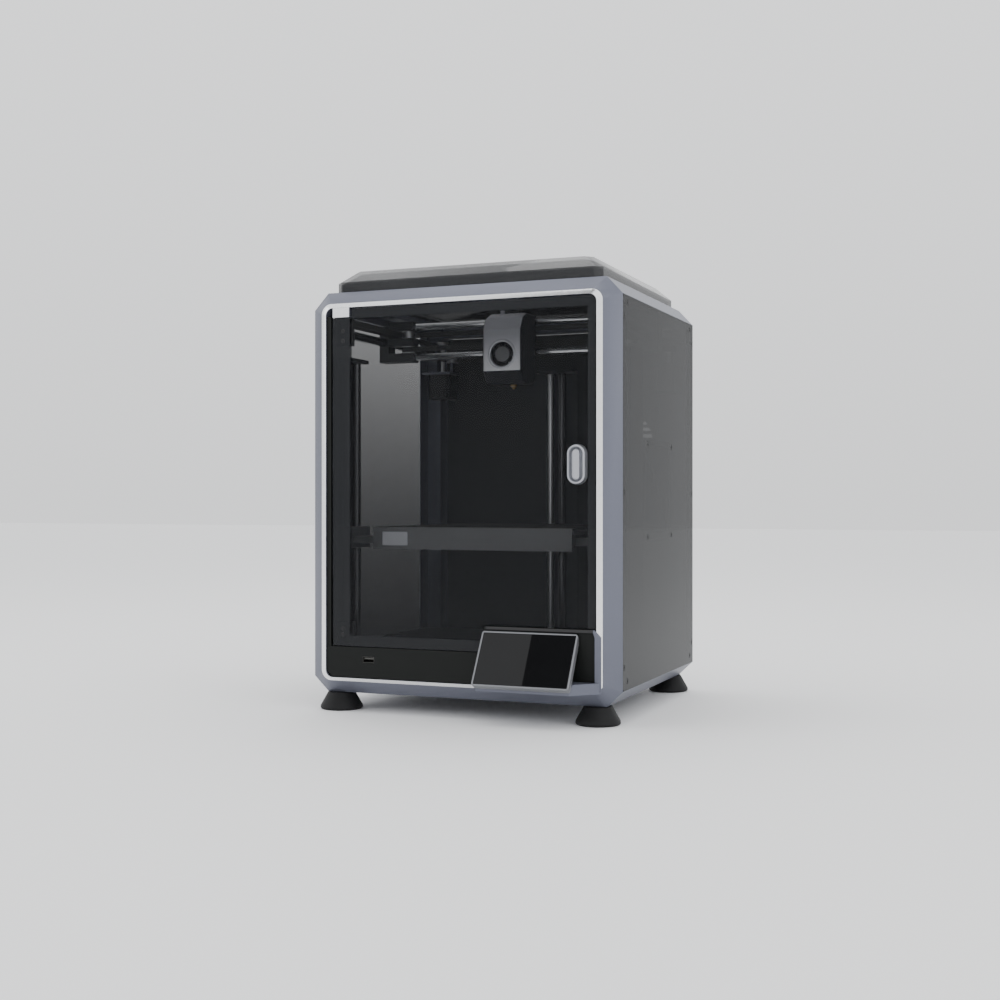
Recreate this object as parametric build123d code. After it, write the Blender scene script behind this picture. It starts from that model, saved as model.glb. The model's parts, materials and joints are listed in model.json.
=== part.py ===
from build123d import *
import math
import os

# Enclosed filament printer with a die-cast frame, a hinged glass door, a lift-off lid and a
# two-belt gantry. Millimetres; origin on the floor under the middle of the overall box;
# +X to the machine's right, +Y to its back, +Z up.

# ---------------------------------------------------------------- driving dimensions
WIDTH = 355.0               # across the side panels
OVERALL_DEPTH = 355.0       # from the screen's lower lip to the back sheet
HEIGHT = 482.0              # floor to the top of the lid
SCREEN_REACH = 33.0         # how far the screen stands out in front of the frame
FOOT_HEIGHT = 19.0
CASTING_TOP = 457.0         # top plane of the castings, which the lid stands on
EDGE = 17.0                 # chamfer along the long edges
FRONT_BEVEL = 16.6          # depth of the front casting's slope
BACK_BEVEL = 21.5           # depth of the rear casting's slope
BRIGHT_WIDTH = 6.0          # machined band round the door opening
BRIGHT_DEPTH = 2.0
OPENING_HALF = 154.7        # half width of the front and rear openings
OPENING_LOW = 36.8
OPENING_HIGH = 437.9
OPENING_RADIUS = 8.0
PANEL = 3.0                 # side panel thickness
FLANGE = 1.3                # sheet flanges that the side panels screw to
FLANGE_WIDTH = 20.0
FIT = 0.05                  # radial clearance of what turns or slides
GAP = 0.5                   # open gap between pieces that only lie side by side

HALF = WIDTH / 2
FRONT = -OVERALL_DEPTH / 2 + SCREEN_REACH
BACK = OVERALL_DEPTH / 2
BOTTOM = FOOT_HEIGHT
TOP = CASTING_TOP
PANEL_LOW = BOTTOM + EDGE * 0.965
PANEL_HIGH = TOP - EDGE * 1.08
PANEL_FRONT = FRONT + FRONT_BEVEL
PANEL_BACK = BACK - BACK_BEVEL

# motion system
BED_CENTRE_Y = 14.0
TRAVEL_XY = 220.0           # printable square
TRAVEL_Z = 250.0
HEAD_X = 3.0                # where the head stands at rest
NOZZLE_Z = 356.5
BED_TOP = 200.0             # top of the build plate at rest
X_ROD_R = 4.0
X_ROD_HIGH = 436.0
X_ROD_LOW = 400.0
GANTRY_Y = BED_CENTRE_Y + 14.0
GANTRY_HALF = 8.5           # half depth of the gantry blocks
Y_ROD_R = 5.0
Y_ROD_X = 166.6
Y_ROD_Z = (X_ROD_HIGH + X_ROD_LOW) / 2
Y_ROD_SEAT = 4.0            # how far its ends go into the front and rear castings
COLUMN_X = 160.4            # inner face of the blocks' bearing columns
ARM_X = 129.0               # inner end of the blocks' arms

# belts: upper belt at LEVEL_A, lower belt at LEVEL_B
LEVEL_A = Y_ROD_Z + 9.0
LEVEL_B = Y_ROD_Z - 9.0
BELT_WIDTH = 6.0
BELT = 1.2
PITCH_R = 6.9
GROOVE_R = PITCH_R - BELT / 2 - 0.1
FLANGE_R = PITCH_R + BELT / 2 + 0.5
PULLEY_HALF = 4.0
AXLE_R = 2.0
GANTRY_IDLER_X = 138.4
FRONT_IDLER_X = GANTRY_IDLER_X + 2 * PITCH_R
FRONT_IDLER_Y = PANEL_FRONT + 16.0
REAR_IDLER_Y = 155.5
MOTOR_X = 149.5
MOTOR_Y = 152.0
MOTOR_SIZE = 30.0
MOTOR_HEIGHT = 31.0
SHELF_LOW = 389.0           # motor shelves of the rear casting
SHELF_HIGH = 392.0

# lifting system
SCREW_R = 4.0
GUIDE_R = 5.0
SIDE_SCREW = (163.0, -80.0)
SIDE_GUIDE = (163.0, -58.0)
REAR_SCREW = (0.0, 147.0)
REAR_GUIDE = (15.0, 147.0)
FLOOR_LOW = 62.0
FLOOR_HIGH = 65.0
CAP_LOW = 386.0
CAP_HIGH = 390.0
LIFT_BELT_Z = 50.0
BED_HALF = 116.0
BED_FRONT = BED_CENTRE_Y - 117.0
BED_BACK = BED_CENTRE_Y + 117.0
PLATE = 2.0
HEATER = 5.0
SKIRT_HEIGHT = 24.0


# ---------------------------------------------------------------- shape helpers
def box(x0, x1, y0, y1, z0, z1):
    return Pos((x0 + x1) / 2, (y0 + y1) / 2, (z0 + z1) / 2) * Box(
        abs(x1 - x0), abs(y1 - y0), abs(z1 - z0))


def rod_x(y, z, x0, x1, r):
    return Pos((x0 + x1) / 2, y, z) * Rot(0, 90, 0) * Cylinder(r, abs(x1 - x0))


def rod_y(x, z, y0, y1, r):
    return Pos(x, (y0 + y1) / 2, z) * Rot(90, 0, 0) * Cylinder(r, abs(y1 - y0))


def rod_z(x, y, z0, z1, r):
    return Pos(x, y, (z0 + z1) / 2) * Cylinder(r, abs(z1 - z0))


def face(points):
    return Face(Wire.make_polygon([Vector(*p) for p in points]))


def prism_x(points, x0, x1):
    """A closed outline of (y, z) points, carried from x0 to x1."""
    return extrude(face([(x0, y, z) for y, z in points]), amount=x1 - x0, dir=(1, 0, 0))


def prism_y(points, y0, y1):
    """A closed outline of (x, z) points, carried from y0 to y1."""
    return extrude(face([(x, y0, z) for x, z in points]), amount=y1 - y0, dir=(0, 1, 0))


def prism_z(points, z0, z1):
    """A closed outline of (x, y) points, carried from z0 to z1."""
    return extrude(face([(x, y, z0) for x, y in points]), amount=z1 - z0, dir=(0, 0, 1))


def both_sides(shape):
    """The shape and its mirror image across the machine's middle plane."""
    return [shape, mirror(shape, about=Plane.YZ)]


def rounded_xz(half, low, high, radius, y):
    """A face across Y: a rectangle with round corners."""
    plane = Plane(origin=(0, y, (low + high) / 2), x_dir=(1, 0, 0), z_dir=(0, -1, 0))
    return plane * RectangleRounded(2 * half, high - low, radius)


def cut_corners(half, low, high, cut_x, cut_low, cut_high):
    """Outline of the body across Y: a rectangle with four cut corners, as (x, z) points."""
    return [
        (half, low + cut_low), (half, high - cut_high),
        (half - cut_x, high), (-half + cut_x, high),
        (-half, high - cut_high), (-half, low + cut_low),
        (-half + cut_x, low), (half - cut_x, low),
    ]


def round_corners(half, low, high, radius, y):
    """A rectangle with round corners across Y, its edges in the same order as cut_corners gives."""
    sides = cut_corners(half, low, high, radius, radius, radius)
    bow = radius * (1 - math.sqrt(0.5))
    middles = [(half - bow, high - bow), (-half + bow, high - bow), (-half + bow, low + bow), (half - bow, low + bow)]
    points = [Vector(x, y, z) for x, z in sides]
    edges = []
    for i, (x, z) in enumerate(middles):
        start, end = points[2 * i], points[2 * i + 1]
        edges.append(Edge.make_line(start, end))
        edges.append(Edge.make_three_point_arc(end, Vector(x, y, z), points[(2 * i + 2) % 8]))
    return Face(Wire(edges))


def body_outline(inset=0.0):
    return cut_corners(HALF - inset, BOTTOM + inset, TOP - inset,
                       EDGE, PANEL_LOW - BOTTOM, TOP - PANEL_HIGH)


def save(node, *shapes):
    """Writes one sub-part. Several shapes are separate solids of the same node."""
    solids = [s for shape in shapes for s in shape.solids()]
    whole = solids[0] if len(solids) == 1 else Compound(children=solids)
    whole.label = node
    export_step(whole, f"parts/{node}.step")


# ---------------------------------------------------------------- castings
def band_edge(y):
    """Outer edge of the bright band round an opening."""
    return round_corners(OPENING_HALF + BRIGHT_WIDTH, OPENING_LOW - BRIGHT_WIDTH * 0.6,
                         OPENING_HIGH + BRIGHT_WIDTH * 0.8, OPENING_RADIUS + 3.5, y)


def slope(y_outer, y_inner):
    """The sloped part of an end casting, from the body's outline to the bright band's outside."""
    outer = face([(x, y_outer, z) for x, z in body_outline()])
    return loft([outer, band_edge(y_inner)], ruled=True)


def bright_band(y_outer, y_inner):
    """The shallow machined band between the slope and the opening."""
    inner = round_corners(OPENING_HALF, OPENING_LOW, OPENING_HIGH, OPENING_RADIUS, y_inner)
    return loft([band_edge(y_outer), inner], ruled=True)


def opening(y0, y1):
    return extrude(rounded_xz(OPENING_HALF, OPENING_LOW, OPENING_HIGH, OPENING_RADIUS, y0),
                   amount=y1 - y0, dir=(0, 1, 0))


def panel_flanges(y0, y1):
    """The two upright sheet flanges behind the side panels' edges."""
    outside = HALF - PANEL
    flange = box(outside - FLANGE, outside, y0, y1, PANEL_LOW, PANEL_HIGH)
    return both_sides(flange)


HINGE_X = -136.4
HINGE_Y = FRONT + 8.0
HINGE_PIN_R = 2.0
TAB_HALF = 10.0
TAB_FRONT = FRONT + 0.5
TAB_LOW = 427.5
GLASS_FRONT = FRONT + 1.5
GLASS = 4.0
LEAF = 4.0
DOOR_LOW = 71.5
DOOR_GAP = 1.5
BASE_PANEL_TOP = DOOR_LOW - 1.0


def front_frame():
    shape = slope(PANEL_FRONT, FRONT + BRIGHT_DEPTH) + bright_band(FRONT + BRIGHT_DEPTH, FRONT)
    shape -= opening(FRONT - 1, PANEL_FRONT + 1)
    for flange in panel_flanges(PANEL_FRONT, PANEL_FRONT + FLANGE_WIDTH):
        shape += flange
    # hinge tab that hangs from the top bar, with the pin's bore
    shape += box(HINGE_X - TAB_HALF, HINGE_X + TAB_HALF, TAB_FRONT, FRONT + 12.0,
                 TAB_LOW, OPENING_HIGH + 2)
    shape -= rod_z(HINGE_X, HINGE_Y, TAB_LOW - 1, TAB_LOW + 9.0, HINGE_PIN_R + FIT)
    for side in (-1, 1):
        shape -= rod_y(side * Y_ROD_X, Y_ROD_Z, PANEL_FRONT - Y_ROD_SEAT, PANEL_FRONT + 1, Y_ROD_R)
        # idler shelf with its axle
        level = LEVEL_A if side < 0 else LEVEL_B
        x = side * FRONT_IDLER_X
        shelf = level + PULLEY_HALF + GAP
        beside_rod = side * (Y_ROD_X - Y_ROD_R - 0.4)
        shape += box(x - side * 9, beside_rod, PANEL_FRONT - 3, FRONT_IDLER_Y + 9, shelf, shelf + 3.0)
        shape += rod_z(x, FRONT_IDLER_Y, level - PULLEY_HALF, shelf + 1, AXLE_R)
    return shape


def rear_frame():
    shape = slope(PANEL_BACK, BACK)
    shape -= opening(PANEL_BACK - 1, BACK + 1)
    for flange in panel_flanges(PANEL_BACK - FLANGE_WIDTH, PANEL_BACK):
        shape += flange
    for side in (-1, 1):
        # motor shelf that bridges the corner of the opening, and the motor's pocket below it
        x0, x1 = side * (REAR_IDLER_X - 8), side * (HALF - 8)
        shape += box(x0, x1, MOTOR_Y - 20, PANEL_BACK + 4, SHELF_LOW, SHELF_HIGH)
        half = MOTOR_SIZE / 2 + GAP
        shape -= box(side * MOTOR_X - half, side * MOTOR_X + half, MOTOR_Y - half, MOTOR_Y + half,
                     SHELF_LOW - MOTOR_HEIGHT - GAP, SHELF_LOW)
        shape -= rod_z(side * MOTOR_X, MOTOR_Y, SHELF_LOW - 1, SHELF_HIGH + 1, FLANGE_R + 3)
        level = LEVEL_B if side < 0 else LEVEL_A
        shape += rod_z(side * REAR_IDLER_X, REAR_IDLER_Y, SHELF_LOW, level + PULLEY_HALF, AXLE_R)
        shape -= rod_y(side * Y_ROD_X, Y_ROD_Z, PANEL_BACK - 1, PANEL_BACK + Y_ROD_SEAT, Y_ROD_R)
    # clear the opening's frame round the pulleys and belts behind the gantry
    shape -= box(-HALF + 18, HALF - 18, PANEL_BACK - 1, BACK - 12, SHELF_HIGH, LEVEL_A + 7)
    return shape


REAR_IDLER_X = GANTRY_IDLER_X
LID_OPENING_X = 148.0
LID_OPENING_FRONT = FRONT + 25.5
LID_OPENING_BACK = PANEL_BACK - 4.0
RIM_LOW = 446.0


def top_frame():
    points = [(x, z) for x, z in body_outline() if z > HEIGHT / 2]
    shape = prism_y(points, PANEL_FRONT, PANEL_BACK)
    wide, narrow = HALF - 6.0, HALF - 13.5
    shape -= prism_y([(wide, PANEL_HIGH - 1), (narrow, RIM_LOW), (-narrow, RIM_LOW), (-wide, PANEL_HIGH - 1)],
                     PANEL_FRONT - 1, PANEL_BACK + 1)
    shape -= box(-LID_OPENING_X, LID_OPENING_X, LID_OPENING_FRONT, LID_OPENING_BACK, RIM_LOW - 2, TOP + 1)
    return shape


def base_tray():
    points = [(x, z) for x, z in body_outline() if z < HEIGHT / 2]
    shape = prism_y(points, PANEL_FRONT, PANEL_BACK)
    wall = 6.0
    inner = [(HALF - wall, PANEL_LOW + 1), (HALF - wall, PANEL_LOW - 3), (HALF - EDGE - 2, BOTTOM + 3),
             (-HALF + EDGE + 2, BOTTOM + 3), (-HALF + wall, PANEL_LOW - 3), (-HALF + wall, PANEL_LOW + 1)]
    shape -= prism_y(inner, PANEL_FRONT + 4, PANEL_BACK - 4)
    return shape


def chamber_floor():
    edge = HALF - PANEL - FLANGE - 0.3
    shape = box(-edge, edge, PANEL_FRONT + 0.5, PANEL_BACK - 0.5, FLOOR_LOW, FLOOR_HIGH)
    posts_y = (PANEL_FRONT + 12, PANEL_BACK - 22)
    for x in (-edge + 22, edge - 22):
        for y in posts_y:
            shape += rod_z(x, y, BOTTOM + 3, FLOOR_LOW, 5.0)
    for x, y in screw_places():
        shape -= rod_z(x, y, FLOOR_LOW - 1, FLOOR_HIGH + 1, SCREW_R + FIT)
    for x, y in guide_places():
        shape -= rod_z(x, y, FLOOR_LOW - 1, FLOOR_HIGH + 1, GUIDE_R)
    return shape


def screw_places():
    x, y = SIDE_SCREW
    return [(-x, y), (x, y), REAR_SCREW]


def guide_places():
    x, y = SIDE_GUIDE
    return [(-x, y), (x, y), REAR_GUIDE]


# ---------------------------------------------------------------- outer skins
SCREEN_LEFT = 31.0
SCREEN_RIGHT = 136.0
SCREEN_TOP_Z = 94.0
SCREEN_LIP_Z = 41.0
SCREEN_TOP_Y = FRONT - 1.6
SCREEN_LIP_Y = FRONT - SCREEN_REACH
SCREEN_THICK = 8.0
NOTCH_LEFT = SCREEN_LEFT - 1.0
NOTCH_TOP = SCREEN_TOP_Z + 5.5
USB = (-103.6, 57.4)
TRIM_RIGHT = HINGE_X - TAB_HALF - 2.8


def base_panel_outline():
    half = OPENING_HALF - 0.3
    low = OPENING_LOW + 0.3
    cut = OPENING_RADIUS * 0.85
    return [(-half, low + cut), (-half + cut, low), (half - cut, low), (half, low + cut),
            (half, NOTCH_TOP - 1), (NOTCH_LEFT + 1, NOTCH_TOP - 1),
            (NOTCH_LEFT + 1, BASE_PANEL_TOP), (-half, BASE_PANEL_TOP)]


def front_base_panel():
    shape = prism_y(base_panel_outline(), GLASS_FRONT, GLASS_FRONT + 4.0)
    # upright trim that fills the gap beside the door's hinges
    shape += box(-OPENING_HALF + 0.3, TRIM_RIGHT, GLASS_FRONT + 0.5, GLASS_FRONT + 4.0,
                 BASE_PANEL_TOP - 5, OPENING_HIGH - OPENING_RADIUS - 1)
    # shelf behind the panel that takes the door's lower pin
    shape += box(HINGE_X - TAB_HALF, HINGE_X + TAB_HALF, GLASS_FRONT + 3, FRONT + 12.0,
                 BASE_PANEL_TOP - 12, BASE_PANEL_TOP)
    shape -= rod_z(HINGE_X, HINGE_Y, BASE_PANEL_TOP - 8, BASE_PANEL_TOP + 1, HINGE_PIN_R + FIT)
    x, z = USB
    shape -= box(x - 7.0, x + 7.0, GLASS_FRONT - 1, GLASS_FRONT + 9, z - 3.3, z + 3.3)
    return shape


def usb_port():
    x, z = USB
    y0, y1 = GLASS_FRONT + 0.4, GLASS_FRONT + 15.0
    shell = box(x - 6.9, x + 6.9, y0, y1, z - 3.2, z + 3.2)
    shell -= box(x - 6.4, x + 6.4, y0 - 1, y1 - 1, z - 2.7, z + 2.7)
    tongue = box(x - 5.6, x + 5.6, y0 + 1.5, y1, z + 0.3, z + 2.1)
    return shell + tongue


def side_panel(side):
    shape = box(HALF - PANEL, HALF, PANEL_FRONT, PANEL_BACK, PANEL_LOW, PANEL_HIGH)
    shape = chamfer(shape.edges().filter_by(Axis.X), 3.0)
    for y, z in panel_screw_places(side):
        shape -= rod_x(y, z, HALF - PANEL - 1, HALF + 1, SCREW_HOLE_R)
        shape -= rod_x(y, z, HALF - SCREW_SUNK, HALF + 1, SCREW_HEAD_R + 0.3)
    return shape if side > 0 else mirror(shape, about=Plane.YZ)


SCREW_HOLE_R = 1.6
AUX_Y = (-44.0, 64.0)
AUX_Z = (184.0, 295.0)
AUX_SCREW_INSET = 6.0


def panel_screw_places(side):
    """(y, z) of the screws of one side panel: in pairs at the corners, and one at mid height."""
    front, back = PANEL_FRONT + 4.0, PANEL_BACK - 4.0
    mid = (PANEL_LOW + PANEL_HIGH) / 2
    places = [(front + 11, PANEL_HIGH - 8), (front, PANEL_HIGH - 22), (back - 11, PANEL_HIGH - 8),
              (back, PANEL_HIGH - 22), (front, mid), (back, mid), (front, PANEL_LOW + 24),
              (front + 11, PANEL_LOW + 9), (back, PANEL_LOW + 24), (back - 11, PANEL_LOW + 9)]
    if side > 0:
        places += [(y, z) for y in (AUX_Y[0] + AUX_SCREW_INSET, AUX_Y[1] - AUX_SCREW_INSET)
                   for z in (AUX_Z[0] + AUX_SCREW_INSET, AUX_Z[1] - AUX_SCREW_INSET)]
    return places


def panel_screws():
    """Socket screws of both side panels, their heads sunk just under the panels' faces."""
    shapes = []
    for side in (-1, 1):
        for y, z in panel_screw_places(side):
            shank = rod_x(y, z, HALF - PANEL, HALF - 1, SCREW_HOLE_R)
            head = rod_x(y, z, HALF - SCREW_SUNK, HALF - 0.2, SCREW_HEAD_R)
            head -= rod_x(y, z, HALF - 0.9, HALF + 1, 1.2)
            screw = shank + head
            shapes.append(screw if side > 0 else mirror(screw, about=Plane.YZ))
    return shapes


SCREW_SUNK = 1.4
SCREW_HEAD_R = 2.8
REAR_SHEET = 1.5
EXHAUST = (88.0, 300.0)
EXHAUST_HALF = 42.0
INLET = (-112.0, 49.5)
ROCKER = (-78.0, 49.5)
SPOOL_MOUNT_Z = 380.0
SPOOL_MOUNT_SPAN = 32.0
SPOOL_HOLE_R = 2.0


def rear_panel():
    half, low, high = OPENING_HALF - 0.3, OPENING_LOW + 0.3, OPENING_HIGH - 0.3
    sheet = extrude(rounded_xz(half, low, high, OPENING_RADIUS - 0.3, BACK - REAR_SHEET),
                    amount=REAR_SHEET, dir=(0, 1, 0))
    x, z = EXHAUST
    for row in range(-4, 5):
        reach = math.sqrt(max(0.0, 36.0 ** 2 - (row * 8.0) ** 2))
        sheet -= Pos(x, BACK, z + row * 8.0) * Box(2 * reach, 6, 4.4)
    x, z = INLET
    sheet -= box(x - 14.2, x + 14.2, BACK - 5, BACK + 1, z - 10.2, z + 10.2)
    x, z = ROCKER
    sheet -= box(x - 7.1, x + 7.1, BACK - 5, BACK + 1, z - 10.2, z + 10.2)
    for x in (-SPOOL_MOUNT_SPAN / 2, SPOOL_MOUNT_SPAN / 2):
        for z in (SPOOL_MOUNT_Z - 12, SPOOL_MOUNT_Z + 12):
            sheet -= rod_y(x - 70, z, BACK - 5, BACK + 1, SPOOL_HOLE_R)
    sheet -= rod_y(TUBE_X, TUBE_INLET_Z, BACK - 5, BACK + 1, TUBE_R + 1.5)
    return sheet


TUBE_R = 4.0
TUBE_X = -40.0
TUBE_INLET_Z = 428.0


def screen_frame():
    """Local frame of the slanted screen: origin at the lip, u up the slope, n out of its face."""
    dy, dz = SCREEN_TOP_Y - SCREEN_LIP_Y, SCREEN_TOP_Z - SCREEN_LIP_Z
    length = math.hypot(dy, dz)
    return (dy / length, dz / length), (-dz / length, dy / length), length


def slanted(u0, u1, n0, n1, x0, x1):
    """A box in the screen's slanted frame."""
    u, n, _ = screen_frame()

    def at(a, b):
        return (SCREEN_LIP_Y + a * u[0] + b * n[0], SCREEN_LIP_Z + a * u[1] + b * n[1])

    return prism_x([at(u0, n0), at(u1, n0), at(u1, n1), at(u0, n1)], x0, x1)


def screen_housing():
    _, _, length = screen_frame()
    shape = slanted(0, length, -SCREEN_THICK, 0, SCREEN_LEFT, SCREEN_RIGHT)
    shape = fillet(shape.edges().filter_by(lambda e: abs(e.length - SCREEN_THICK) < 0.01), 3.0)
    rim = 1.8
    shape -= slanted(rim, length - rim, -1.2, 1, SCREEN_LEFT + rim, SCREEN_RIGHT - rim)
    # the upper back edge is cut upright, clear of the panel behind it
    return shape - box(SCREEN_LEFT - 1, SCREEN_RIGHT + 1, FRONT + 0.8, FRONT + 20, SCREEN_LIP_Z, SCREEN_TOP_Z + 9)


def screen_glass():
    _, _, length = screen_frame()
    rim = 1.9
    return slanted(rim, length - rim, -1.2, -0.2, SCREEN_LEFT + rim, SCREEN_RIGHT - rim)


def screen_bracket():
    """Painted surround over the casting's corner, with the ledge and neck that carry the screen."""
    _, _, length = screen_frame()
    left, right = SCREEN_LEFT + 4, OPENING_HALF + BRIGHT_WIDTH - 0.7
    low, high = OPENING_LOW - 2.5, NOTCH_TOP - 1.0
    arm, bar, corner = 6.5, 3.0, 7.0
    ledge = prism_z([(left + 2, FRONT), (right, FRONT), (SCREEN_RIGHT - 2, SCREEN_LIP_Y + 8),
                     (left - 2, SCREEN_LIP_Y + 8)], low, low + 11)
    neck = box(SCREEN_LEFT + 30, SCREEN_RIGHT - 30, SCREEN_LIP_Y + 5, GLASS_FRONT, low + 4, SCREEN_TOP_Z - 12)
    carrier = ledge + neck - slanted(-30, length + 30, -SCREEN_THICK, 90, left - 9, right + 5)
    rim = prism_y([(right, low + 2), (right, high - corner), (right - corner, high), (left, high),
                   (left, high - bar), (right - corner - 1, high - bar), (right - arm, high - corner - 1),
                   (right - arm, low + 2)], FRONT - 2.0, FRONT)
    return carrier + rim


def rubber_feet():
    """Cone-shaped feet: a wide base and a waist that goes up to the tray."""
    profile = [(0, 0), (22.4, 0), (23.4, 1.5), (23.0, 4.0), (15.6, 17.0), (14.6, FOOT_HEIGHT), (0, FOOT_HEIGHT)]
    turned = revolve(face([(r, 0, z) for r, z in profile]), axis=Axis.Z)
    x, front, back = 148.5, FRONT + 24.9, BACK - 24.9
    return [Pos(sx * x, y, 0) * turned for sx in (-1, 1) for y in (front, back)]


# ---------------------------------------------------------------- door
def door_glass():
    left, right = HINGE_X - TAB_HALF, OPENING_HALF - DOOR_GAP
    low, high = DOOR_LOW, OPENING_HIGH - DOOR_GAP
    cut = 4.0
    # the step beside the hinge tab is wide enough for its back corner to swing past the tab
    back_face = HINGE_Y - GLASS_FRONT - GLASS
    notch = math.sqrt((TAB_HALF + GAP) ** 2 + (HINGE_Y - TAB_FRONT + GAP) ** 2 - back_face ** 2)
    points = [(left, low), (NOTCH_LEFT, low), (NOTCH_LEFT, NOTCH_TOP), (right, NOTCH_TOP),
              (right, high - cut), (right - cut, high), (HINGE_X + notch, high),
              (HINGE_X + notch, TAB_LOW - 1), (left, TAB_LOW - 1)]
    shape = prism_y(points, GLASS_FRONT, GLASS_FRONT + GLASS)
    for z in leaf_screw_heights():
        shape -= rod_y(HINGE_X + 2, z, GLASS_FRONT - 1, GLASS_FRONT + GLASS + 1, 2.0)
    for z in handle_screw_heights():
        shape -= rod_y(HANDLE_X, z, GLASS_FRONT - 1, GLASS_FRONT + GLASS + 1, 1.6)
    return shape


HANDLE_X = 135.0
HANDLE_Z = 265.5
HANDLE_LENGTH = 41.0
HANDLE_WIDTH = 20.0
HANDLE_REACH = 9.0


def handle_screw_heights():
    return (HANDLE_Z - 11.0, HANDLE_Z + 11.0)


def leaf_screw_heights():
    return (TAB_LOW - 15.0, TAB_LOW - 25.5, DOOR_LOW + 18.5, DOOR_LOW + 12.0)


def door_hinge_leaves():
    """Two leaves screwed behind the glass, each with the pin that turns in the frame."""
    shapes = []
    y0, y1 = GLASS_FRONT + GLASS, GLASS_FRONT + GLASS + LEAF
    for low, high, pin in ((TAB_LOW - 31, TAB_LOW - 1, 1), (DOOR_LOW, DOOR_LOW + 26, -1)):
        leaf = box(HINGE_X - 8, HINGE_X + 12, y0, y1, low, high)
        if pin > 0:
            leaf += rod_z(HINGE_X, HINGE_Y, high - 1, TAB_LOW + 8, HINGE_PIN_R)
        else:
            leaf += rod_z(HINGE_X, HINGE_Y, BASE_PANEL_TOP - 7, low + 1, HINGE_PIN_R)
        for z in leaf_screw_heights():
            if low < z < high:
                leaf += rod_y(HINGE_X + 2, z, GLASS_FRONT + 0.3, y0 + 0.5, 1.95)
        shapes.append(leaf)
    return shapes


def capsule(width, length, y0, y1):
    """A capsule-shaped block at the handle's place, standing along Z."""
    plane = Plane(origin=(HANDLE_X, y0, HANDLE_Z), x_dir=(0, 0, 1), z_dir=(0, -1, 0))
    return extrude(plane * SlotOverall(length, width), amount=abs(y1 - y0), dir=(0, 1, 0))


def door_handle():
    """Flange on the glass, a waisted stem and a wider grip to pull on."""
    shape = capsule(HANDLE_WIDTH, HANDLE_LENGTH, GLASS_FRONT - 3.0, GLASS_FRONT)
    shape += capsule(HANDLE_WIDTH - 8, HANDLE_LENGTH - 8, GLASS_FRONT - HANDLE_REACH + 4, GLASS_FRONT - 2)
    shape += capsule(HANDLE_WIDTH - 4.5, HANDLE_LENGTH - 4.5, GLASS_FRONT - HANDLE_REACH, GLASS_FRONT - HANDLE_REACH + 4.5)
    for z in handle_screw_heights():
        shape += rod_y(HANDLE_X, z, GLASS_FRONT - 1, GLASS_FRONT + GLASS + 1.2, 1.55)
    return shape


# ---------------------------------------------------------------- lid
LID_HALF = 153.5
LID_FRONT = FRONT + 18.8
LID_BACK = PANEL_BACK - 0.5
LID_WALL_TOP = 468.4
LID_SLOPE = 15.4
LID_CORNER = 8.0
LID_THICK = 3.0


def lid_outline(inset):
    x, y0, y1, c = LID_HALF - inset, LID_FRONT + inset, LID_BACK - inset, LID_CORNER
    return [(x, y0 + c), (x, y1 - c), (x - c, y1), (-x + c, y1),
            (-x, y1 - c), (-x, y0 + c), (-x + c, y0), (x - c, y0)]


def lid_solid(shrink, low, high):
    """The lid's form: upright wall, then a slope to the flat top."""
    wall = prism_z(lid_outline(shrink), low, LID_WALL_TOP - shrink * 0.4)
    lower = face([(x, y, LID_WALL_TOP - shrink * 0.4) for x, y in lid_outline(shrink)])
    upper = face([(x, y, high) for x, y in lid_outline(LID_SLOPE + shrink * 0.6)])
    return wall + loft([lower, upper], ruled=True)


def lid_shell():
    shape = lid_solid(0, TOP, HEIGHT) - lid_solid(LID_THICK, TOP - 1, HEIGHT - LID_THICK)
    gap = 0.6
    x, y0, y1 = LID_OPENING_X - gap, LID_OPENING_FRONT + gap, LID_OPENING_BACK - gap
    lip = box(-x, x, y0, y1, TOP - 4, TOP + 2)
    # a ledge ties the lip that drops into the opening to the wall round it
    lip += box(-LID_HALF + 1, LID_HALF - 1, LID_FRONT + 1, LID_BACK - 1, TOP, TOP + 2)
    lip -= box(-x + 2, x - 2, y0 + 2, y1 - 2, TOP - 5, TOP + 3)
    corners = prism_z(lid_outline(0), TOP - 5, TOP + 3)
    return shape + (lip & corners)


# ---------------------------------------------------------------- gantry and belts
def gantry_block():
    """Right-hand block: an upright bearing column on the Y rod, and three arms between the belts."""
    y0, y1 = GANTRY_Y - GANTRY_HALF, GANTRY_Y + GANTRY_HALF
    z0, z1 = X_ROD_LOW - 6, X_ROD_HIGH + 6
    shape = box(COLUMN_X, HALF - PANEL - FLANGE - 0.4, y0, y1, z0, PANEL_HIGH - 1.5)
    slot = PULLEY_HALF + GAP
    for low, high in ((z0, LEVEL_B - slot), (LEVEL_B + slot, LEVEL_A - slot), (LEVEL_A + slot, z1)):
        shape += box(ARM_X, COLUMN_X, y0, y1, low, high)
    shape -= rod_y(Y_ROD_X, Y_ROD_Z, y0 - 1, y1 + 1, Y_ROD_R + FIT)
    for z in (X_ROD_LOW, X_ROD_HIGH):
        shape -= rod_x(GANTRY_Y, z, ARM_X - 1, COLUMN_X - 2, X_ROD_R)
    for level in (LEVEL_A, LEVEL_B):
        shape += rod_z(GANTRY_IDLER_X, GANTRY_Y, level - slot, level + slot, AXLE_R)
    return shape


def x_rods():
    reach = COLUMN_X - 2
    return [rod_x(GANTRY_Y, z, -reach, reach, X_ROD_R) for z in (X_ROD_LOW, X_ROD_HIGH)]


def guide_rods():
    shapes = [rod_y(s * Y_ROD_X, Y_ROD_Z, PANEL_FRONT - Y_ROD_SEAT, PANEL_BACK + Y_ROD_SEAT, Y_ROD_R)
              for s in (-1, 1)]
    return shapes + [rod_z(x, y, FLOOR_LOW, CAP_HIGH, GUIDE_R) for x, y in guide_places()]


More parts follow.
